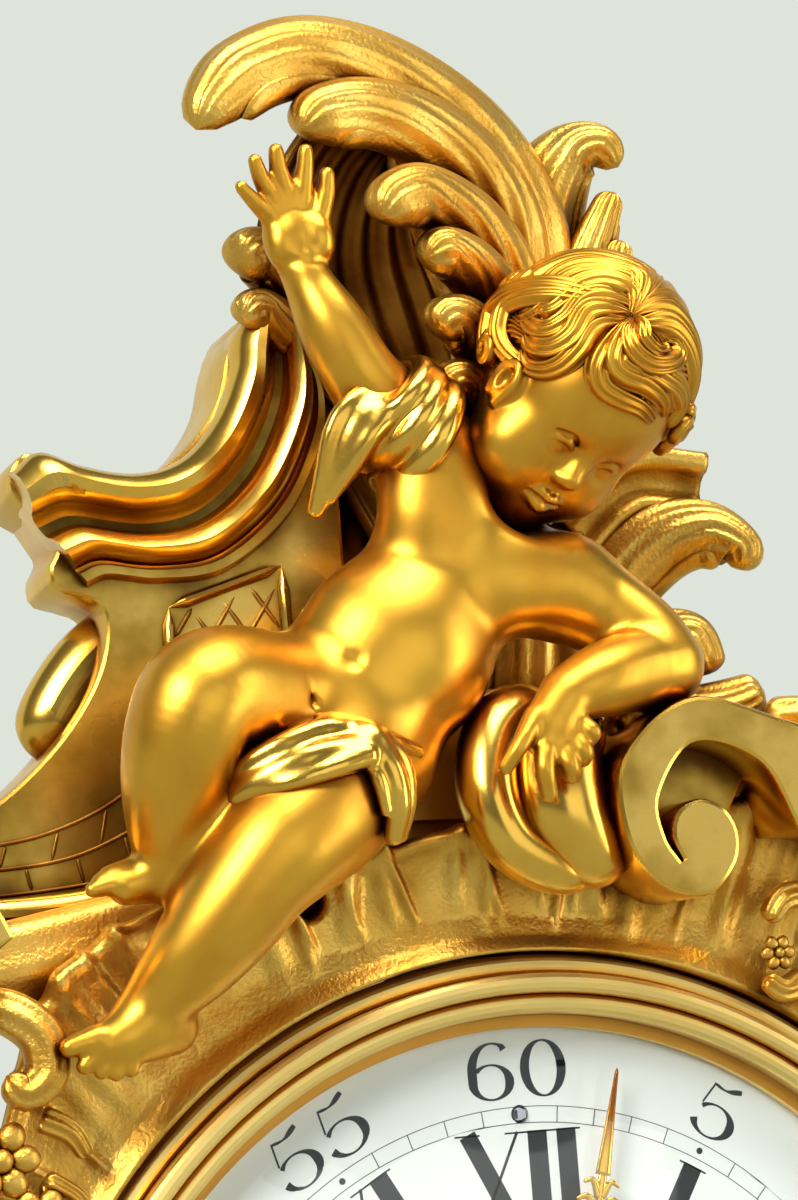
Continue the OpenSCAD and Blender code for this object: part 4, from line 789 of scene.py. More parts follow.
def crest_leaf():
    """Folded acanthus: nested strands that roll over to the left."""
    strands = (
        [(8, 172, 68, 8, 5), (14, 190, 69, 9, 6), (19, 212, 71, 10, 6.5), (22.5, 232, 73, 10, 6.5),
         (19.5, 248, 77, 10, 6.5), (8, 261.5, 84, 9.6, 6), (-10, 270.5, 92, 9, 5.5),
         (-28, 272.6, 99, 8.2, 5.4), (-42, 267.5, 104, 7.4, 5.2), (-50, 260, 107.5, 6.8, 5),
         (-53.6, 254, 109, 6.4, 4.8)],
        [(18, 224, 77, 7, 4), (16, 242, 82, 8, 4.8), (8, 253, 88, 8.2, 5), (-5, 259.5, 95, 7.8, 5),
         (-18, 261, 101, 7, 5), (-28, 258.5, 105, 6.2, 4.8), (-33, 254.5, 107, 5.4, 4.4)],
        [(19, 214, 79, 6.5, 4), (14, 231, 85, 7.2, 4.6), (5, 240.5, 93, 7, 4.8), (-7, 244.6, 101, 6.4, 4.8),
         (-14.5, 242.4, 105, 5.8, 4.6), (-18.5, 238, 106.5, 5, 4.2)],
        [(17, 206, 81, 6, 4), (11, 221, 90, 6.4, 4.4), (4, 229.6, 97, 6, 4.6), (-4, 233, 102, 5.2, 4.4),
         (-9.5, 231, 104, 4.6, 4)],
        [(13, 198, 84, 5, 4), (7, 211, 94, 5.4, 4.4), (0, 218.6, 100, 5.6, 4.8), (-5, 219.6, 102, 5.2, 4.8),
         (-7.6, 217, 102.5, 4.8, 4.4)],
        [(10, 190, 84, 4.5, 4), (4, 200, 95, 4.6, 4), (-1, 207, 100, 4.8, 4.2), (-5, 207.6, 102, 4.6, 4),
         (-7, 205, 102, 4.2, 3.6)])
    parts = leaf_of(strands, LEFT_OUT)
    # The leaf's back, into which the strands run
    parts.append(lobe([(10, 182, 66, 10, 4), (13, 206, 70, 13, 5), (12, 230, 76, 14, 5),
                       (5, 248, 83, 12, 5), (-8, 260, 90, 8, 4)],
                      out=LEFT_OUT, ribs=4, cup=0.1, rib=0.5, n=50, m=56))
    # Stems of the leaf behind the torso
    for rows in ([(2, 140, 64, 7, 4), (6, 160, 66, 8, 4.5), (10, 186, 68, 8, 4.5)],
                 [(15, 140, 66, 8, 4.5), (17, 160, 68, 9, 5), (18, 188, 70, 9, 5)],
                 [(27, 140, 66, 8, 4.5), (28, 160, 69, 9, 5), (26, 186, 71, 8, 5)]):
        parts.append(lobe(rows, out=LEFT_OUT, ribs=3, cup=0.2, rib=0.6))
    # Two small strands in the hollow
    return parts + leaf_of((
        [(-18, 222, 72, 6, 4), (-28, 232, 78, 6, 5), (-36, 237, 84, 5.6, 5), (-41, 235, 87, 4.8, 4.6)],
        [(-16, 212, 72, 5, 4), (-26, 220, 78, 5, 4.4), (-36, 226, 84, 4.4, 4), (-41, 224, 87, 3.6, 3.2)]),
        LEFT_OUT)


def crest_hollow():
    """The leaf's deep, veined hollow behind the raised arm."""
    return [lobe([(4, 176, 62, 11, 4), (-5, 198, 65, 16, 4), (-14, 218, 68, 19, 4), (-19, 238, 72, 18, 4),
                  (-15, 254, 78, 14, 4), (-3, 264, 84, 9, 4)],
                 out=(0.1, 0, 1), ribs=6, cup=-0.42, rib=0.9, n=60, m=80),
            lobe([(-16, 146, 61, 10, 3.5), (-20, 164, 62, 11, 3.5), (-20, 182, 63, 11, 3.5),
                  (-17, 204, 64, 9, 3.5)],
                 out=(0.1, 0, 1), ribs=3, cup=-0.2, rib=0.6, root=0.1)]


def side_leaf():
    """The leaf behind the head, rolled to the right."""
    rows = ([(20, 206, 69, 7, 5), (23, 222, 70, 8, 5), (25, 240, 71, 9, 5.4), (27.5, 252, 73, 8.4, 5.4),
             (33, 260, 76, 6.2, 5), (38.6, 260.6, 79, 4.8, 4.2), (41.6, 256, 80.5, 3.8, 3.4)],
            [(30, 226, 74, 5, 3.6), (35, 238, 77, 4.8, 3.2), (38.6, 247, 79, 3.4, 2.6),
             (40.4, 251, 80, 2.6, 2.2)],
            [(32, 222, 75, 5, 3.4), (38, 232, 78, 4, 3), (41.2, 241, 80, 2.8, 2.4)])
    return leaf_of(rows, RIGHT_OUT, -1)


def wing_leaf():
    """Leaves and a moulded block behind the right shoulder."""
    rows = ([(30, 158, 70, 7, 4.5), (35, 172, 73, 8, 5), (44, 180.5, 77, 7.6, 5), (53, 182, 81, 6.4, 4.8),
             (59, 177.6, 84, 5, 4.2), (58.6, 173, 85, 4, 3.4)],
            [(33, 150, 70, 7, 4.5), (41, 160, 76, 6, 4.4), (48.5, 161, 80, 5, 4), (51, 153, 82, 4.4, 3.6)],
            [(36, 146, 74, 6, 4), (50, 145.5, 82, 6, 4.4), (60, 148.5, 87, 4.4, 3.6)])
    parts = leaf_of(rows, RIGHT_OUT, -1)
    # Moulded block: a cap, a cove, a bead and a plain foot, as (down, out) points along one bend
    cornice = arr([(-3.6, -8), (-3.6, 5.0), (-2.6, 6.0), (-0.6, 6.0), (0.4, 5.0), (0.8, 3.4), (2.0, 2.0),
                   (4.0, 1.4), (5.6, 2.0), (6.4, 3.2), (7.8, 3.4), (8.8, 2.4), (9.2, 1.0), (15, 0.6),
                   (15, -8)])
    line = smooth_line([(26, 185, 73), (33, 191.6, 74.4), (42, 195.4, 75), (55, 194, 75.5)], 30)
    parts.append(sweep(line, [cornice]*len(line), (0, 0, 1)))
    return parts


def bolster():
    """Two burnished rolls under the hand, and the neck that runs behind the volute."""
    rows = ([(9, 148, 99, 5, 5), (-2, 142, 103, 6, 6), (-6, 131, 106, 6, 6.5), (-3, 120.5, 107.5, 5.6, 6),
             (6, 114.6, 107.5, 5, 5.4), (13, 113, 106, 4, 4.6)],
            [(17, 146, 100, 7, 6), (8.6, 138, 106, 8.6, 7.4), (6.8, 126.6, 109, 8.8, 8),
             (12, 117.6, 108.6, 7, 6.6), (19, 114.6, 106, 5, 5)],
            [(22, 146, 98, 6, 6), (33, 141, 99, 7, 6), (44, 138, 96, 6, 5)])
    return [lobe(r, out=(-0.3, 0, 1), ribs=0, cup=0, rib=0, n=56, m=40, tip=0.2, root=0.2) for r in rows]


# Depths of the scrolls' back and face, and where the upper volute has its eye and its neck
SCROLL_BACK, SCROLL_FACE = 97.0, 118.0
VOLUTE_EYE, VOLUTE_NECK = (31, 119), (51, 130.4)
# Radii of the volute's two edges at each eighth of a turn, from its neck round to the eye
VOLUTE_OUTER = arr((28.6, 25.6, 20.8, 15.2, 12.7, 11.2, 8.4, 7.1, 6.7, 6.7, 6.7, 6.3, 6.45))
VOLUTE_INNER = arr((19.2, 18.0, 17.0, 11.0, 7.4, 6.6))
# Steps between two radii, and the radii that the web behind the coil takes in
VOLUTE_STEPS, WEB_RADII = 6, 9
# Size of the lower volutes beside the upper one
LOWER_SIZE = 0.84


def volute():
    """Outline of the volute's face: the outer edge in to the eye, then the inner edge back to the neck."""
    def turn(radii, start):
        a = np.radians(start + 45*np.arange(len(radii)))
        return smooth_line(np.column_stack([radii*np.cos(a), radii*np.sin(a)]), VOLUTE_STEPS*len(radii))
    return VOLUTE_EYE + np.vstack([turn(VOLUTE_OUTER, 45), turn(VOLUTE_INNER, 0)[::-1]])


def volute_at(entry, along, inside, k):
    """The volute moved to another band's end."""
    p = volute() - VOLUTE_NECK
    a, b = p @ arr((-0.91, 0.41)), p @ arr((-0.41, -0.91))
    return arr(entry) + k*(a[:, None]*unit(along) + b[:, None]*unit(inside))


def fine_loop(p, n):
    """A closed outline rounded through its points."""
    p = arr(p)
    q = smooth_line(np.vstack([p[-2:], p, p[:2]]), 12*n)
    i = np.argmin(np.linalg.norm(q[:6*n] - p[0], axis=1))
    j = 6*n + np.argmin(np.linalg.norm(q[6*n:] - p[0], axis=1))
    return q[np.linspace(i, j, n, endpoint=False).astype(int)]


def band_sides(line, widths, n):
    """The two edges of a flat band along a line, with its width at each point."""
    q = smooth_line(np.column_stack([line, widths]), n)
    t = unit(np.gradient(q[:, :2], axis=0))
    normal = np.stack([-t[:, 1], t[:, 0]], 1)
    return q[:, :2] + 0.5*q[:, 2:]*normal, q[:, :2] - 0.5*q[:, 2:]*normal


def right_scroll():
    """Flat band from the upper volute to the lower one, with a web behind the upper volute's coil."""
    line = [(60, 126.5), (72, 121), (93, 106), (112, 84), (125.4, 52), (130.4, 14), (128.6, -30),
            (118, -68), (106, -92)]
    outer, inner = band_sides(line, [17.5, 17.4, 17.6, 18, 18, 18, 17, 15.5, 14.5], 60)
    low = volute_at((100, -100), (-0.62, -0.78), (-0.78, 0.62), LOWER_SIZE)
    web = volute()[:VOLUTE_STEPS*WEB_RADII]
    return [plate(np.vstack([volute(), inner, low[::-1], outer[::-1]]), SCROLL_BACK, SCROLL_FACE, 0.9),
            plate(web*0.97 + 0.03*arr(VOLUTE_EYE), SCROLL_BACK, SCROLL_BACK + 8, 0.6)]


def left_scroll():
    """Flat band at the left, with a lower volute that mirrors the right one."""
    line = [(-100, 111), (-108, 106), (-118, 90), (-129, 56), (-132.9, 16), (-130, -32), (-119, -70),
            (-107, -92)]
    inner, outer = band_sides(line, [7, 10, 13, 17, 18, 17, 15.5, 14.5], 60)
    low = volute_at((-101, -100), (0.62, -0.78), (0.78, 0.62), LOWER_SIZE)
    return [plate(np.vstack([inner, low[::-1], outer[::-1]]), SCROLL_BACK, SCROLL_FACE, 0.9)]


# Depths of the cartouche's back and face, and the outline of its panel
PANEL_BACK, PANEL_FACE = 58.0, 79.0
PANEL = [(-86, 196), (-82, 200), (-74, 197), (-62, 194.5), (-52, 200), (-45, 209), (-42, 219), (-38, 226),
         (-31, 225), (-26, 214), (-22, 196), (-21.5, 178), (-21.5, 158), (-21.5, 140), (-34, 129),
         (-48, 122), (-62, 117), (-78, 113.4), (-98, 112), (-117, 112.6), (-121, 120), (-116, 128),
         (-104, 130), (-93, 134), (-82, 143), (-74, 153), (-70, 162), (-69.6, 170), (-74, 172.4),
         (-78.6, 174), (-79.4, 178), (-77.6, 182), (-79.6, 187), (-84.6, 190.6)]


def cartouche():
    """Flat panel with a moulded concave top, a framed window and mouldings under its foot."""
    parts = [plate(fine_loop(PANEL, 220), PANEL_BACK, PANEL_FACE, 0.8)]
    # Four lines along the moulded top, from its rim in
    family = arr([
        [(-86, 196), (-81, 199.8), (-73, 197), (-63, 195.3), (-54, 197.6), (-47, 204.6), (-42.6, 214),
         (-41.4, 221), (-38, 226)],
        [(-82.8, 187.5), (-76.5, 190), (-69.5, 189), (-61.5, 188), (-51.5, 190.2), (-42.2, 198.4),
         (-36.2, 209.6), (-34.6, 218), (-34, 225.4)],
        [(-77.5, 180.2), (-72.5, 182), (-67, 181.2), (-60, 180.4), (-48.4, 182.4), (-37, 191.8), (-30, 205),
         (-28.4, 214), (-29.4, 222)],
        [(-72.4, 174), (-69, 175.4), (-64.6, 175), (-58.5, 174.4), (-46, 176), (-32.6, 186.2), (-25, 200),
         (-23.6, 209), (-25.6, 215)]])
    columns = 60
    lines = np.stack([smooth_line(f, columns) for f in family])
    # Depth of the moulding by the share of the way from the first line to the last
    profile = arr([(0, PANEL_FACE), (0.02, 82.6), (0.08, 85.2), (0.17, 86.4), (0.26, 85.8), (0.31, 84.0),
                   (0.33, 82.2), (0.37, 80.6), (0.43, 79.9), (0.50, 80.2), (0.53, 81.2), (0.54, 82.4),
                   (0.58, 84.2), (0.66, 85.2), (0.75, 84.6), (0.81, 82.8), (0.83, 81.2), (0.86, 81.0),
                   (0.88, 82.0), (0.96, 82.0), (0.98, 80.2), (1.0, PANEL_FACE)])
    rows = []
    for q, z in profile:
        k = min(2, int(q*3))
        f = q*3 - k
        xy = lines[k]*(1 - f) + lines[k + 1]*f
        rows.append(np.column_stack([xy, np.full(len(xy), z)]))
    # Back of the moulding inside the panel, and its two ends
    rows += [np.column_stack([line, np.full(len(line), PANEL_BACK + 0.4)]) for line in (lines[3], lines[0])]
    ends = [[columns*k + j for k in range(len(rows))] for j in (0, columns - 1)]
    parts.append((np.vstack(rows), grid_faces(len(rows), columns, wrap_n=True) + ends))
    # Window frame
    corners = [(-57, 169.8), (-34.3, 177.2), (-33.8, 146), (-58.5, 146)]
    for a, b in zip(corners, corners[1:] + corners[:1]):
        parts.append(tube([(*p, PANEL_FACE, 1.2) for p in (a, 0.5*(arr(a) + b), b)], n=8, m=10, tip=0.02))
    # Mouldings under the foot
    for line, r, z in (([(-118, 114.6), (-94.6, 114), (-76, 115), (-59, 118.6)], 2.6, 84),
                       ([(-117, 109.6), (-94, 109), (-77, 109.6), (-61, 112)], 3.4, 82)):
        parts.append(tube([(*p, z, r) for p in smooth_line(line, 8)], n=36, m=14, tip=0.04))
    # Boss behind the waist
    parts.append(lobe([(-62, 166, 66, 8, 7), (-70, 160, 66, 8, 7), (-77, 151, 66, 7.5, 6.5),
                       (-80, 143, 66, 6, 5)], ribs=0, rib=0, cup=0, tip=0.25))
    return parts


def cartouche_lines():
    """Lattice of the window and brick courses of the foot, laid as fine lines on the panel's face; their dark
    finish is painted shade of incised lines.
    """
    face = PANEL_FACE - 0.14
    parts = []
    for k in range(-2, 5):
        x = -57 + 7.2*k
        for a, b in (((x, 152), (x + 16, 176)), ((x + 16, 152), (x, 176))):
            p = np.linspace(a, b, 80)
            p = p[(p[:, 0] > -56.4) & (p[:, 0] < -35) & (p[:, 1] < 168.4 + 0.325*(p[:, 0] + 57))]
            if len(p) > 8:
                parts.append(tube([(*q, face, 0.5) for q in (p[0], 0.5*(p[0] + p[-1]), p[-1])], n=6, m=8,
                                  tip=0.02))
    courses = [smooth_line(c, 12) for c in ([(-116, 125.6), (-92.5, 126.8), (-81.2, 129), (-71.5, 133),
                                             (-63, 138.6)],
                                            [(-117, 121.4), (-92.8, 122.2), (-78, 124), (-64, 129.6)],
                                            [(-116, 117.4), (-93, 117.4), (-74, 119), (-62, 121.6)])]
    for c in courses:
        parts.append(tube([(*p, face, 0.45) for p in c], n=40, m=8, tip=0.01))
    # Upright joints, broken from course to course
    for upper, lower, shift in ((courses[0], courses[1], 0), (courses[1], courses[2], 1)):
        for k in range(1 + shift, 12, 2):
            a, b = upper[k], lower[k]
            parts.append(tube([(*p, face, 0.4) for p in (a, 0.5*(a + b), b)], n=6, m=8, tip=0.02))
    return parts


# Casting hole beside the long leg, the border's inner radius, and the room left for the bezel's hinge
HOLE_AT = (-39.5, 112.0)
BORDER_R, HINGE_R, HINGE_HALF = 100.6, 109.4, 9.6


def shell_border():
    """Shell work that coves from the bezel to uneven flutes and a ragged, turned-over edge."""
    n, m = 1800, 34
    a = np.linspace(0, 360, n, endpoint=False)
    r = np.radians
    cos_a, sin_a = np.cos(r(a)), np.sin(r(a))
    # Radius of the ragged edge
    edge = 122.4 + 3*np.sin(r(3*a + 40)) + 2.2*np.sin(r(7*a)) + 1.2*np.cos(r(16*a))
    # The shell work spreads under the volute, behind the lap and beside the cartouche
    edge += 15*np.exp(-((a - 62)/17)**2) + 5*np.exp(-((a - 97)/7)**2) + 9*np.exp(-((a - 128)/12)**2)
    inner = np.where(np.minimum(a, 360 - a) < HINGE_HALF, HINGE_R, BORDER_R)
    # Flutes at uneven places: angle, width, height, slant and where each one starts
    count = 150
    at = np.cumsum(rng.uniform(0.7, 3.2, count))
    at = at*360/at[-1]
    wide, high = rng.uniform(0.4, 1.25, count), rng.uniform(0.7, 2.6, count)
    slant, start = rng.uniform(-4, 4, count), rng.uniform(0.04, 0.4, count)
    rows = []
    for t in np.linspace(0, 1, m):
        lift = np.zeros(n)
        for k in range(count):
            off = (a - at[k] - slant[k]*t + 180) % 360 - 180
            lift += high[k]*np.exp(-(off/wide[k])**2)*np.clip((t - start[k])/0.4, 0, 1)
        lift = 3.2*np.tanh(lift/3.2)
        cove = np.interp(t, [0, 0.05, 0.14, 0.32, 0.55, 1], [8.6, 8.0, 6.2, 5.0, 5.4, 7.4])
        roll = 1.1*math.sin(np.pi*np.clip((t - 0.84)/0.16, 0, 1)) - 1.4*(t == 1)
        rad = inner + (edge + 0.7*lift*t - inner)*t
        pit = 9*np.exp(-(((rad*cos_a - HOLE_AT[0])**2 + (rad*sin_a - HOLE_AT[1])**2)/7)**2)
        rows.append(np.column_stack([rad*cos_a, rad*sin_a, FRONT + cove + lift + roll - pit]))
    # Back of the border, from the edge in
    for rad, z in ((edge - 1.6, 4.0), (edge - 4, -4), (edge - 10, -11.5), (inner, -11.5)):
        rows.append(np.column_stack([rad*cos_a, rad*sin_a, np.full(n, FRONT + z)]))
    v = np.stack(rows, 1).reshape(-1, 3)
    # Plain ground below the cartouche
    ground = lobe([(-52, 113, 84, 7, 4), (-68, 108, 87, 9, 4.4), (-86, 103.6, 89, 10, 4.6),
                   (-102, 102, 90, 9, 4), (-116, 104, 90, 6, 3)],
                  ribs=2, rib=0.4, cup=0.05, n=50, root=0.1)
    return [(v, grid_faces(n, m + 4, wrap_m=True, wrap_n=True)), ground]


def flower_sprays():
    """Rosettes, berries and curled leaves at the left edge, and small sprays on the right."""
    parts = []
    for x, u, z, size in ((-101.5, 70, 108, 7), (-95, 59, 108, 6), (-107, 40, 108, 8), (70, 142, 98, 6.5),
                          (50, 97, 104, 3.4)):
        petals, faces = ring_of(ball((0, 0, 0), (0.42*size, 0.36*size, 0.3*size)), 6, 0.62*size, leaf_gilt)
        parts.append((petals + arr((x, u, z)), faces))
        parts.append(ball((x, u, z + 0.2*size), (0.3*size, 0.3*size, 0.3*size)))
    for rows in ([(-106, 97, 104, 3, 2.6), (-99, 95.6, 108, 4, 3.2), (-93.4, 91, 109.6, 4.2, 3.4),
                  (-92.6, 84.6, 110, 4, 3.2), (-96.6, 81.4, 110, 3.4, 2.8), (-100, 84.4, 110.4, 2.8, 2.4)],
                 [(-94, 62, 107, 3.4, 3), (-101, 54, 108, 3.6, 3), (-107, 40, 107.5, 3.4, 3),
                  (-112, 8, 107.5, 3, 2.6), (-109, -22, 109, 2.4, 2.2)],
                 [(-94, 77, 107, 2.6, 2), (-88.4, 74, 106.6, 2.2, 1.8), (-85.4, 69.6, 105.6, 1.6, 1.4)],
                 [(-94, 66, 107, 2.6, 2), (-88, 62, 106, 2.2, 1.8), (-85.6, 57, 105, 1.6, 1.4)],
                 [(57, 143, 92, 4, 3), (69, 142, 96, 3.6, 3), (80, 134, 98, 3, 2.6)],
                 [(58, 108, 104, 2.6, 2.4), (51, 107, 106, 2.6, 2.4), (47.6, 103, 106, 2, 2)],
                 [(56, 92, 102, 2.6, 2.2), (50, 90, 105, 2.4, 2.2), (46.4, 92.4, 105, 1.8, 1.8)]):
        parts.append(lobe(rows, out=(0, 0, 1), ribs=2, rib=0.4, cup=0.15, tip=0.1, root=0.12))
    return parts


def apron_leaf():
    """Hanging leaf under the pendulum box, with three pairs of side lobes."""
    parts = [lobe([(0, -232, 52, 13, 8), (0, -252, 53, 16, 10), (0, -280, 50, 13.5, 9),
                   (0, -304, 42, 9.5, 7), (1.5, -325, 33, 6, 5)], ribs=3, rib=0.8, cup=0.2)]
    for s in (-1, 1):
        for rows in ([(6, -240, 50, 9, 6), (22, -249, 54, 8, 6), (34, -244, 58, 6.5, 5),
                      (39, -237, 58, 4, 4)],
                     [(6, -262, 51, 8, 6), (20, -275, 55, 7, 5.5), (29, -271, 58, 5.5, 4.5),
                      (32, -265, 58, 3.6, 3.4)],
                     [(4, -284, 48, 6.5, 5), (14, -299, 52, 5.5, 4.5), (20, -296, 54, 4.4, 3.6),
                      (22.5, -291, 54, 3, 2.6)]):
            parts.append(lobe([(x*s, u, z, w, t) for x, u, z, w, t in rows], ribs=2, rib=0.5))
    return parts


def apron_scrolls():
    """The pair of scrolled ribs that frame the fret."""
    parts = []
    line = smooth_line([(58, -92), (61, -118.5), (53, -149), (50, -183), (40, -213.5), (24, -229),
                        (12, -225.5), (10, -215.5), (17, -210.5)], 80)[8:]
    wide = np.interp(np.linspace(0, 1, len(line)), [0, 0.5, 1], [7.3, 5, 3])
    for s in (-1, 1):
        rows = [(x*s, u, 71, w, 5.4) for (x, u), w in zip(line, wide)]
        parts.append(lobe(rows[::4] + rows[-1:], ribs=1, rib=0.9, cup=0.0, n=80, tip=0.05))
    return parts


# Silk behind the fret: its rim as (down from the dial's centre, half width), the radius of the drum's arc
# above it, its half width under that arc, and its depth
SILK_RIM = arr([(66, 62.4), (120.4, 56.3), (179.9, 43.3), (232.6, 33.6)])
SILK_ARC, SILK_HALF, SILK_DEPTH = 98.0, 61.4, 62.75


def fret_silk():
    """Silk stretched over the fret's back with a little slack; also its area and its flat size in metres."""
    n, m = 61, 81
    k, t = np.meshgrid(np.linspace(-1, 1, n), np.linspace(0, 1, m), indexing="ij")
    top = np.sqrt(SILK_ARC**2 - (SILK_HALF*k)**2)
    down = top + t*(SILK_RIM[-1, 0] - top)
    x = k*np.interp(down, SILK_RIM[:, 0], SILK_RIM[:, 1])
    slack = 0.08*np.sin(0.42*x + 0.3*np.sin(0.1*down))*np.sin(np.pi*t)*(1 - k*k)
    cloth = np.stack([x, -down, SILK_DEPTH + slack], -1)
    rim = np.vstack([cloth[:, 0], cloth[-1], cloth[::-1, -1], cloth[0, ::-1]])[:, :2]
    area = 0.5*abs(np.sum(rim[:, 0]*np.roll(rim[:, 1], -1) - np.roll(rim[:, 0], -1)*rim[:, 1]))
    return (cloth.reshape(-1, 3), grid_faces(n, m)), area/1e6, np.ptp(rim, axis=0)/1000


# Dial figures, drawn with a broad pen: upright strokes are thick and level ones are hairlines

def stroke(points, thick, thin=0.035, n=40):
    """A pen stroke through unit-square points as a flat strip."""
    q = smooth_line(points, n) if len(points) > 2 else np.linspace(points[0], points[1], 6)
    t = unit(np.gradient(q, axis=0))
    w = thin + (thick - thin)*np.abs(t[:, 1])**2.2
    nrm = np.stack([-t[:, 1], t[:, 0]], 1)
    a, b = q + 0.5*w[:, None]*nrm, q - 0.5*w[:, None]*nrm
    return np.vstack([a, b]), grid_faces(2, len(q))


def arc(cx, cy, rx, ry, a0, a1, n=14):
    """Points of an upright elliptical arc between two angles in degrees."""
    a = np.radians(np.linspace(a0, a1, n))
    return np.column_stack([cx + rx*np.cos(a), cy + ry*np.sin(a)])


DIGITS = {
    "0": [(arc(0.40, 0.5, 0.34, 0.48, 0, 374, 32), 0.17)],
    "1": [([(0.42, 0.03), (0.42, 0.97)], 0.16), ([(0.24, 0.02), (0.60, 0.02)], 0.04),
          ([(0.24, 0.86), (0.42, 0.95)], 0.05)],
    "2": [(np.vstack([arc(0.40, 0.70, 0.31, 0.27, 175, -30, 14), [(0.45, 0.36), (0.12, 0.05)]]), 0.15),
          ([(0.10, 0.05), (0.36, 0.08), (0.74, 0.04)], 0.3)],
    "3": [(arc(0.38, 0.74, 0.27, 0.23, 165, -80), 0.15), (arc(0.38, 0.28, 0.33, 0.26, 85, -170), 0.17)],
    "4": [([(0.55, 0.97), (0.06, 0.28)], 0.04), ([(0.06, 0.28), (0.78, 0.28)], 0.04),
          ([(0.55, 0.02), (0.55, 0.97)], 0.15)],
    "5": [([(0.20, 0.95), (0.10, 0.54)], 0.035), ([(0.20, 0.93), (0.44, 0.90), (0.72, 0.99)], 0.6),
          (arc(0.40, 0.30, 0.36, 0.29, 142, -165, 20), 0.17)],
    "6": [(np.vstack([[(0.68, 0.86)], arc(0.46, 0.52, 0.38, 0.46, 60, 180, 10),
                      arc(0.42, 0.31, 0.34, 0.30, 190, 500, 24)]), 0.17)],
}


def serif(a, b, y):
    """A hairline across the end of a stem."""
    return [(a, y), (b, y)], 0.03


# Width and strokes of the hours' letters: broad stems, thin stems and serifs near the top and the foot
HIGH, FOOT = 0.99, 0.01
LETTERS = {
    "I": (0.28, [([(0, 0.0), (0, 1.0)], 0.185), serif(-0.14, 0.14, FOOT), serif(-0.14, 0.14, HIGH)]),
    "V": (0.56, [([(-0.26, 1.0), (-0.02, 0.0)], 0.20), ([(0.24, 1.0), (0.0, 0.0)], 0.03),
                 serif(-0.38, -0.12, HIGH), serif(0.12, 0.34, HIGH)]),
    "X": (0.58, [([(-0.24, 1.0), (0.24, 0.0)], 0.20), ([(0.24, 1.0), (-0.24, 0.0)], 0.03),
                 serif(-0.36, -0.12, HIGH), serif(0.12, 0.34, HIGH),
                 serif(-0.34, -0.12, FOOT), serif(0.12, 0.36, FOOT)]),
}


def clockwise(x, y, angle):
    """Points turned about the dial's centre by degrees."""
    a = math.radians(angle)
    return x*math.cos(a) + y*math.sin(a), y*math.cos(a) - x*math.sin(a)


def on_dial(part, angle, radius, size, shift):
    """A unit drawing set upright along a radius of the dial."""
    v, f = part
    x, y = clockwise((v[:, 0] - shift)*size, radius + v[:, 1]*size, angle)
    return np.column_stack([x, y, np.full(len(v), INK_LEVEL)]), f


# Foot and height of the minute numbers and the hours, the minute track's edges and half its line, in mm
NUMBER_FOOT, NUMBER_HIGH, NUMBER_STEP = 73.5, 10.7, 0.99
HOUR_FOOT, HOUR_HIGH = 47.0, 20.5
TRACK_IN, TRACK_OUT, TRACK_LINE = 69.0, 72.0, 0.07
# Each hand's length, its angle at rest in degrees clockwise from 12, its bore and its depth from the wall
MINUTE_HAND = (80, 13.4, 2.6, FRONT + 3.6)
HOUR_HAND = (54, 301, 3.9, FRONT + 1.3)
# Half the thickness of a hand's rods in mm, and the length that its leaves are drawn for
HAND_HALF, HAND_DRAWN = 0.38, 80


def dial_figures():
    """Minute numbers, hours and the minute track as one flat drawing."""
    parts = []
    for k in range(1, 13):
        text = str(5*k)
        for i, ch in enumerate(text):
            shift = 0.40 + 0.5*NUMBER_STEP*(len(text) - 1) - NUMBER_STEP*i
            parts += [on_dial(stroke(p, w), 30*k, NUMBER_FOOT, NUMBER_HIGH, shift) for p, w in DIGITS[ch]]
    # Hours, each letter beside the last
    for k, word in enumerate("XII I II III IIII V VI VII VIII IX X XI".split()):
        total = sum(LETTERS[c][0] for c in word)
        at = -0.5*total
        for c in word:
            w, strokes = LETTERS[c]
            parts += [on_dial(stroke(p, t, thin=0.016), 30*k, HOUR_FOOT, HOUR_HIGH, -(at + 0.5*w))
                      for p, t in strokes]
            at += w
    # Minute track with ticks and five-minute dots
    for r in (TRACK_IN, TRACK_OUT):
        ring = np.radians(np.arange(360))
        v = np.vstack([np.column_stack([q*np.cos(ring), q*np.sin(ring), np.full(360, INK_LEVEL)])
                       for q in (r - TRACK_LINE, r + TRACK_LINE)])
        parts.append((v, grid_faces(2, 360, wrap_m=True)))
    long = TRACK_OUT - TRACK_IN
    tick = arr([(0, -0.09, 0), (long, -0.09, 0), (long, 0.09, 0), (0, 0.09, 0)])
    dot = np.column_stack([arc(1.6, 0, 0.62, 0.62, 0, 342, 20), np.zeros(20)])
    for v, f in (ring_of((tick, [[0, 1, 2, 3]]), 60, TRACK_IN, ink, every=5, first=1),
                 ring_of((dot, [list(range(20))]), 12, TRACK_IN, ink)):
        parts.append((v + arr((0, 0, INK_LEVEL)), f))
    return parts


def hand_on(angle, rows_list, z):
    """Rods laid along a hand as rows of (side, along, half width), turned from 12 to the hand's angle."""
    parts = []
    for rows in rows_list:
        side, along, wide = arr(rows).T
        x, y = clockwise(side, along, angle)
        rows = np.column_stack([x, y, np.full(len(x), z), wide, np.full(len(x), HAND_HALF)])
        parts.append(lobe(rows, ribs=0, cup=0, rib=0, n=36, m=12, tip=0.06))
    return parts


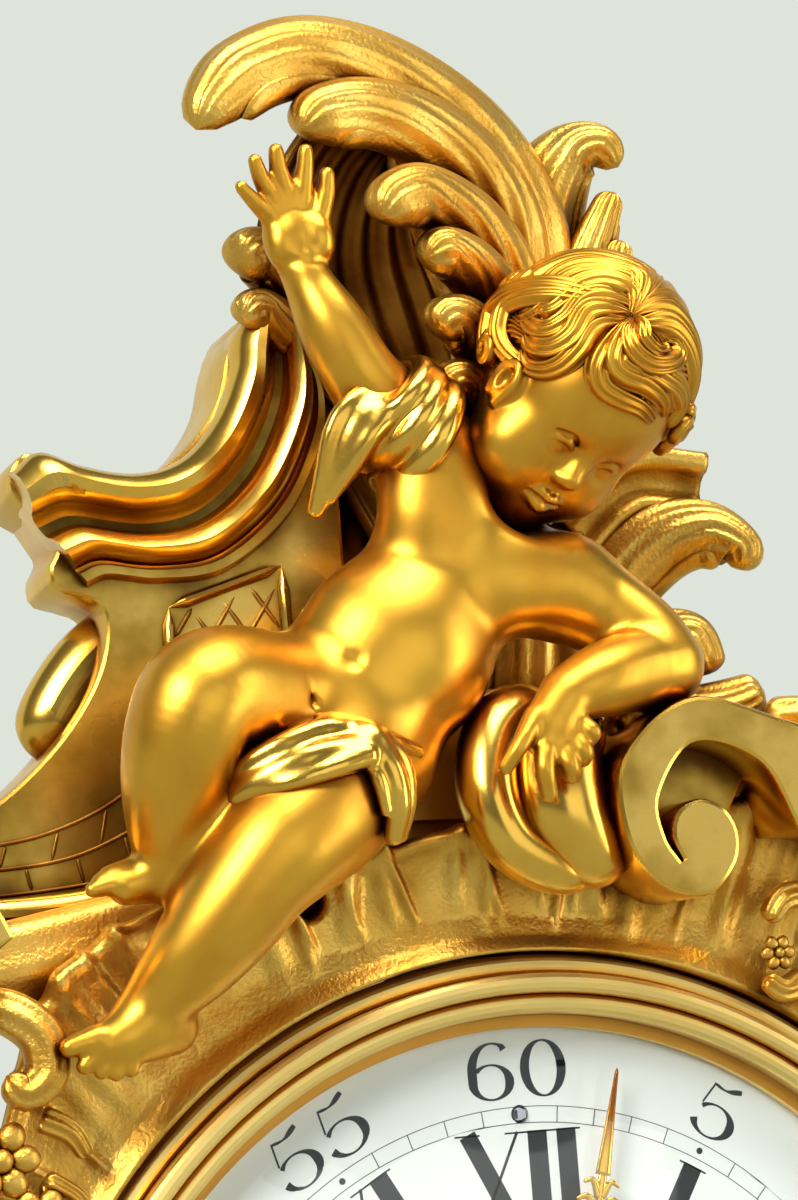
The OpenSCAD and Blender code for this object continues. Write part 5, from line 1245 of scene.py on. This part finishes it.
def leafy_hand(length, angle, bore, z):
    """Pierced and leafy: paired scrolls and leaves on a tapering blade."""
    k = length/HAND_DRAWN
    rows = [[(0, 60*k, 1.5*k), (0, 70*k, 0.9*k), (0, length, 0.3)]]
    for s in (-1, 1):
        rows += [[(s*0.4, bore + 2, 1.1), (s*4.4*k, 14*k, 1.0), (s*1.2*k, 22*k, 0.9)],
                 [(s*0.6, 20*k, 0.9), (s*4.0*k, 29*k, 0.9), (s*3.2*k, 35*k, 0.8), (s*0.8*k, 39*k, 0.8)],
                 [(s*0.4, 38*k, 0.8), (s*2.6*k, 46*k, 0.8), (s*0.6*k, 54*k, 0.8)],
                 [(s*0.3, 52*k, 0.9), (s*2.2*k, 55.6*k, 0.7), (s*4.6*k, 55.0*k, 0.35)],
                 [(s*0.3, 56*k, 0.9), (s*1.8*k, 58.8*k, 0.6), (s*3.6*k, 58.2*k, 0.3)],
                 [(s*0.4, 24*k, 0.8), (s*3.6*k, 22.6*k, 0.7), (s*5.4*k, 25*k, 0.4)],
                 [(s*0.4, 40*k, 0.8), (s*3.0*k, 40.4*k, 0.6), (s*4.6*k, 43*k, 0.35)]]
    rows.append([(0, bore + 1.5, 0.9), (0, 30*k, 0.7), (0, 62*k, 0.9)])
    parts = hand_on(angle, rows, z + 0.4)
    ring = [(bore + 0.02, z), (bore + 2.4, z), (bore + 2.4, z + 0.7), (bore + 1.6, z + 0.8),
            (bore + 0.02, z + 0.8)]
    return parts + [revolve(ring)]


piece("crest_leaf_cast", crest_leaf(), leaf_gilt, nodes=("crest_leaf",))
# Painted shade: the leaf's deep hollow is finished in darkened gilding
piece("crest_leaf_hollow", crest_hollow(), shade_painted_gilt)
piece("crest_side_leaf_cast", side_leaf(), leaf_gilt, nodes=("crest_side_leaf",))
piece("right_wing_cast", wing_leaf(), leaf_gilt, nodes=("right_wing",))
piece("scroll_bolster_cast", bolster(), bright_gilt, nodes=("scroll_bolster",))
piece("right_c_scroll_cast", right_scroll(), bright_gilt, nodes=("right_c_scroll",),
      sharp=35, front=flat_gilt)
piece("left_c_scroll_cast", left_scroll(), bright_gilt, nodes=("left_c_scroll",),
      sharp=35, front=flat_gilt)
piece("left_cartouche_cast", cartouche(), bright_gilt, nodes=("left_cartouche",),
      sharp=40, front=flat_gilt)
# Painted shade: the raised lines are finished dark to read as shaded incised grooves
piece("left_cartouche_lines", cartouche_lines(), shade_painted_gilt)
piece("shell_border_cast", shell_border(), leaf_gilt, nodes=("rocaille_surround",))
piece("flower_sprays_cast", flower_sprays(), leaf_gilt, nodes=("flower_sprays",))
piece("apron_leaf_cast", apron_leaf(), leaf_gilt, nodes=("apron_leaf",))
piece("apron_scrolls_cast", apron_scrolls(), bright_gilt, nodes=("apron_scrolls",))
silk_part, silk_area, silk_size = fret_silk()
cloth = piece("fret_silk_cloth", [silk_part], silk, nodes=("fret_silk",), thick=0.15)
piece("dial_figures", dial_figures(), ink, sharp=30, thick=0.05)
piece("minute_hand_pierced", leafy_hand(*MINUTE_HAND), bright_gilt, nodes=("minute_hand",),
      body="minute_work")
piece("hour_hand_pierced", leafy_hand(*HOUR_HAND), bright_gilt, nodes=("hour_hand",),
      body="hour_work")

piece("cherub_figure", [cherub_figure()], skin_gilt,
      nodes=("putto_body", "putto_raised_arm", "putto_resting_arm", "putto_bent_leg", "putto_long_leg"))
piece("cherub_head", [cherub_head()], skin_gilt, nodes=("putto_head",))
piece("cherub_hair", cherub_hair(), skin_gilt)
piece("cherub_drapery", [cherub_drapery()], bright_gilt, nodes=("putto_drapery",))


# Stage, light and camera

def stage_plane(name, corners, tone, seen=None):
    """A sheet of paper; a seen tone is what the camera and mirrors see of it, without light on the object."""
    mesh = bpy.data.meshes.new(name)
    mesh.from_pydata(corners, [], [[0, 1, 2, 3]])
    m, t, _ = finish_tree(name + " paper")
    face = add(t, "ShaderNodeBsdfPrincipled", {"Base Color": colour(tone), "Roughness": 1.0})
    if seen:
        path = add(t, "ShaderNodeLightPath").outputs
        look = add(t, "ShaderNodeMath", {0: path["Is Camera Ray"], 1: path["Is Glossy Ray"]},
                   operation="MAXIMUM")
        look = add(t, "ShaderNodeMath", {0: look, 1: path["Is Transmission Ray"]}, operation="MAXIMUM")
        glow = add(t, "ShaderNodeEmission", {"Color": colour(seen)})
        face = add(t, "ShaderNodeMixShader", {0: look, 1: face, 2: glow})
    add(t, "ShaderNodeOutputMaterial", {"Surface": face})
    mesh.materials.append(m)
    put(name, mesh)


def area_light(name, place, aim, size, power):
    """A soft white lamp of a size in metres, aimed at a point."""
    data = bpy.data.lights.new(name, "AREA")
    data.shape, data.size, data.size_y, data.energy = "RECTANGLE", size[0], size[1], power
    obj = put(name, data)
    obj.location = place
    obj.rotation_euler = (Vector(aim) - Vector(place)).to_track_quat("-Z", "Y").to_euler()


# Half width of the stage, its depth before and behind the clock, its floor and its top, in metres
WIDE, DEEP, LOW, TOP = 30, 9, -1.3, 14
stage_plane("backdrop", [(-WIDE, DEEP, LOW), (WIDE, DEEP, LOW), (WIDE, DEEP, TOP), (-WIDE, DEEP, TOP)],
            "#DDE3DD", seen="#DFE4DB")
stage_plane("floor", [(-WIDE, -DEEP, LOW), (WIDE, -DEEP, LOW), (WIDE, DEEP, LOW), (-WIDE, DEEP, LOW)],
            "#D9DCD6", seen="#BCC1B9")
# Lamps: place and aim in metres, size and power
area_light("left softbox", (-0.95, -1.0, 0.85), (0, -0.1, 0.05), (0.6, 0.7), 25)
area_light("top softbox", (0.25, -0.6, 1.3), (0, -0.1, 0), (1.0, 0.7), 23)
area_light("right card", (1.3, -0.8, 0.1), (0, -0.1, 0), (0.5, 1.2), 7)
area_light("front card", (0.5, -2.2, 0.2), (0, -0.1, 0), (1.6, 1.2), 6)

scene = bpy.context.scene
scene.world = bpy.data.worlds.new("studio")
scene.world.use_nodes = True
sky = scene.world.node_tree.nodes["Background"].inputs
sky["Color"].default_value = colour("#C9CDC8")
sky["Strength"].default_value = 0.27
scene.view_settings.view_transform = "Standard"

# The photo's camera, solved from the dial: where it stands, where its back looks, and its roll
CAMERA_AT = (-0.2265, -0.70973, -0.05603)
PHOTO_SHAPE = 798/1200
roll = math.radians(-4.447)
back = unit((-0.31988, -0.93711, -0.13967))
level = unit((0.94638, -0.32304, 0))
over = np.cross(back, level)
cam_right = math.cos(roll)*level + math.sin(roll)*over
cam_up = -math.sin(roll)*level + math.cos(roll)*over
data = bpy.data.cameras.new("photo camera")
data.lens, data.sensor_height, data.sensor_width, data.sensor_fit = 105, 36, 36*PHOTO_SHAPE, "VERTICAL"
data.clip_start, data.clip_end = 0.01, 50
camera = put("photo camera", data)
turned = np.stack([cam_right, cam_up, back], 1).tolist()
camera.matrix_world = Matrix([[*v, e] for v, e in zip(turned, CAMERA_AT)] + [[0, 0, 0, 1]])
scene.camera = camera
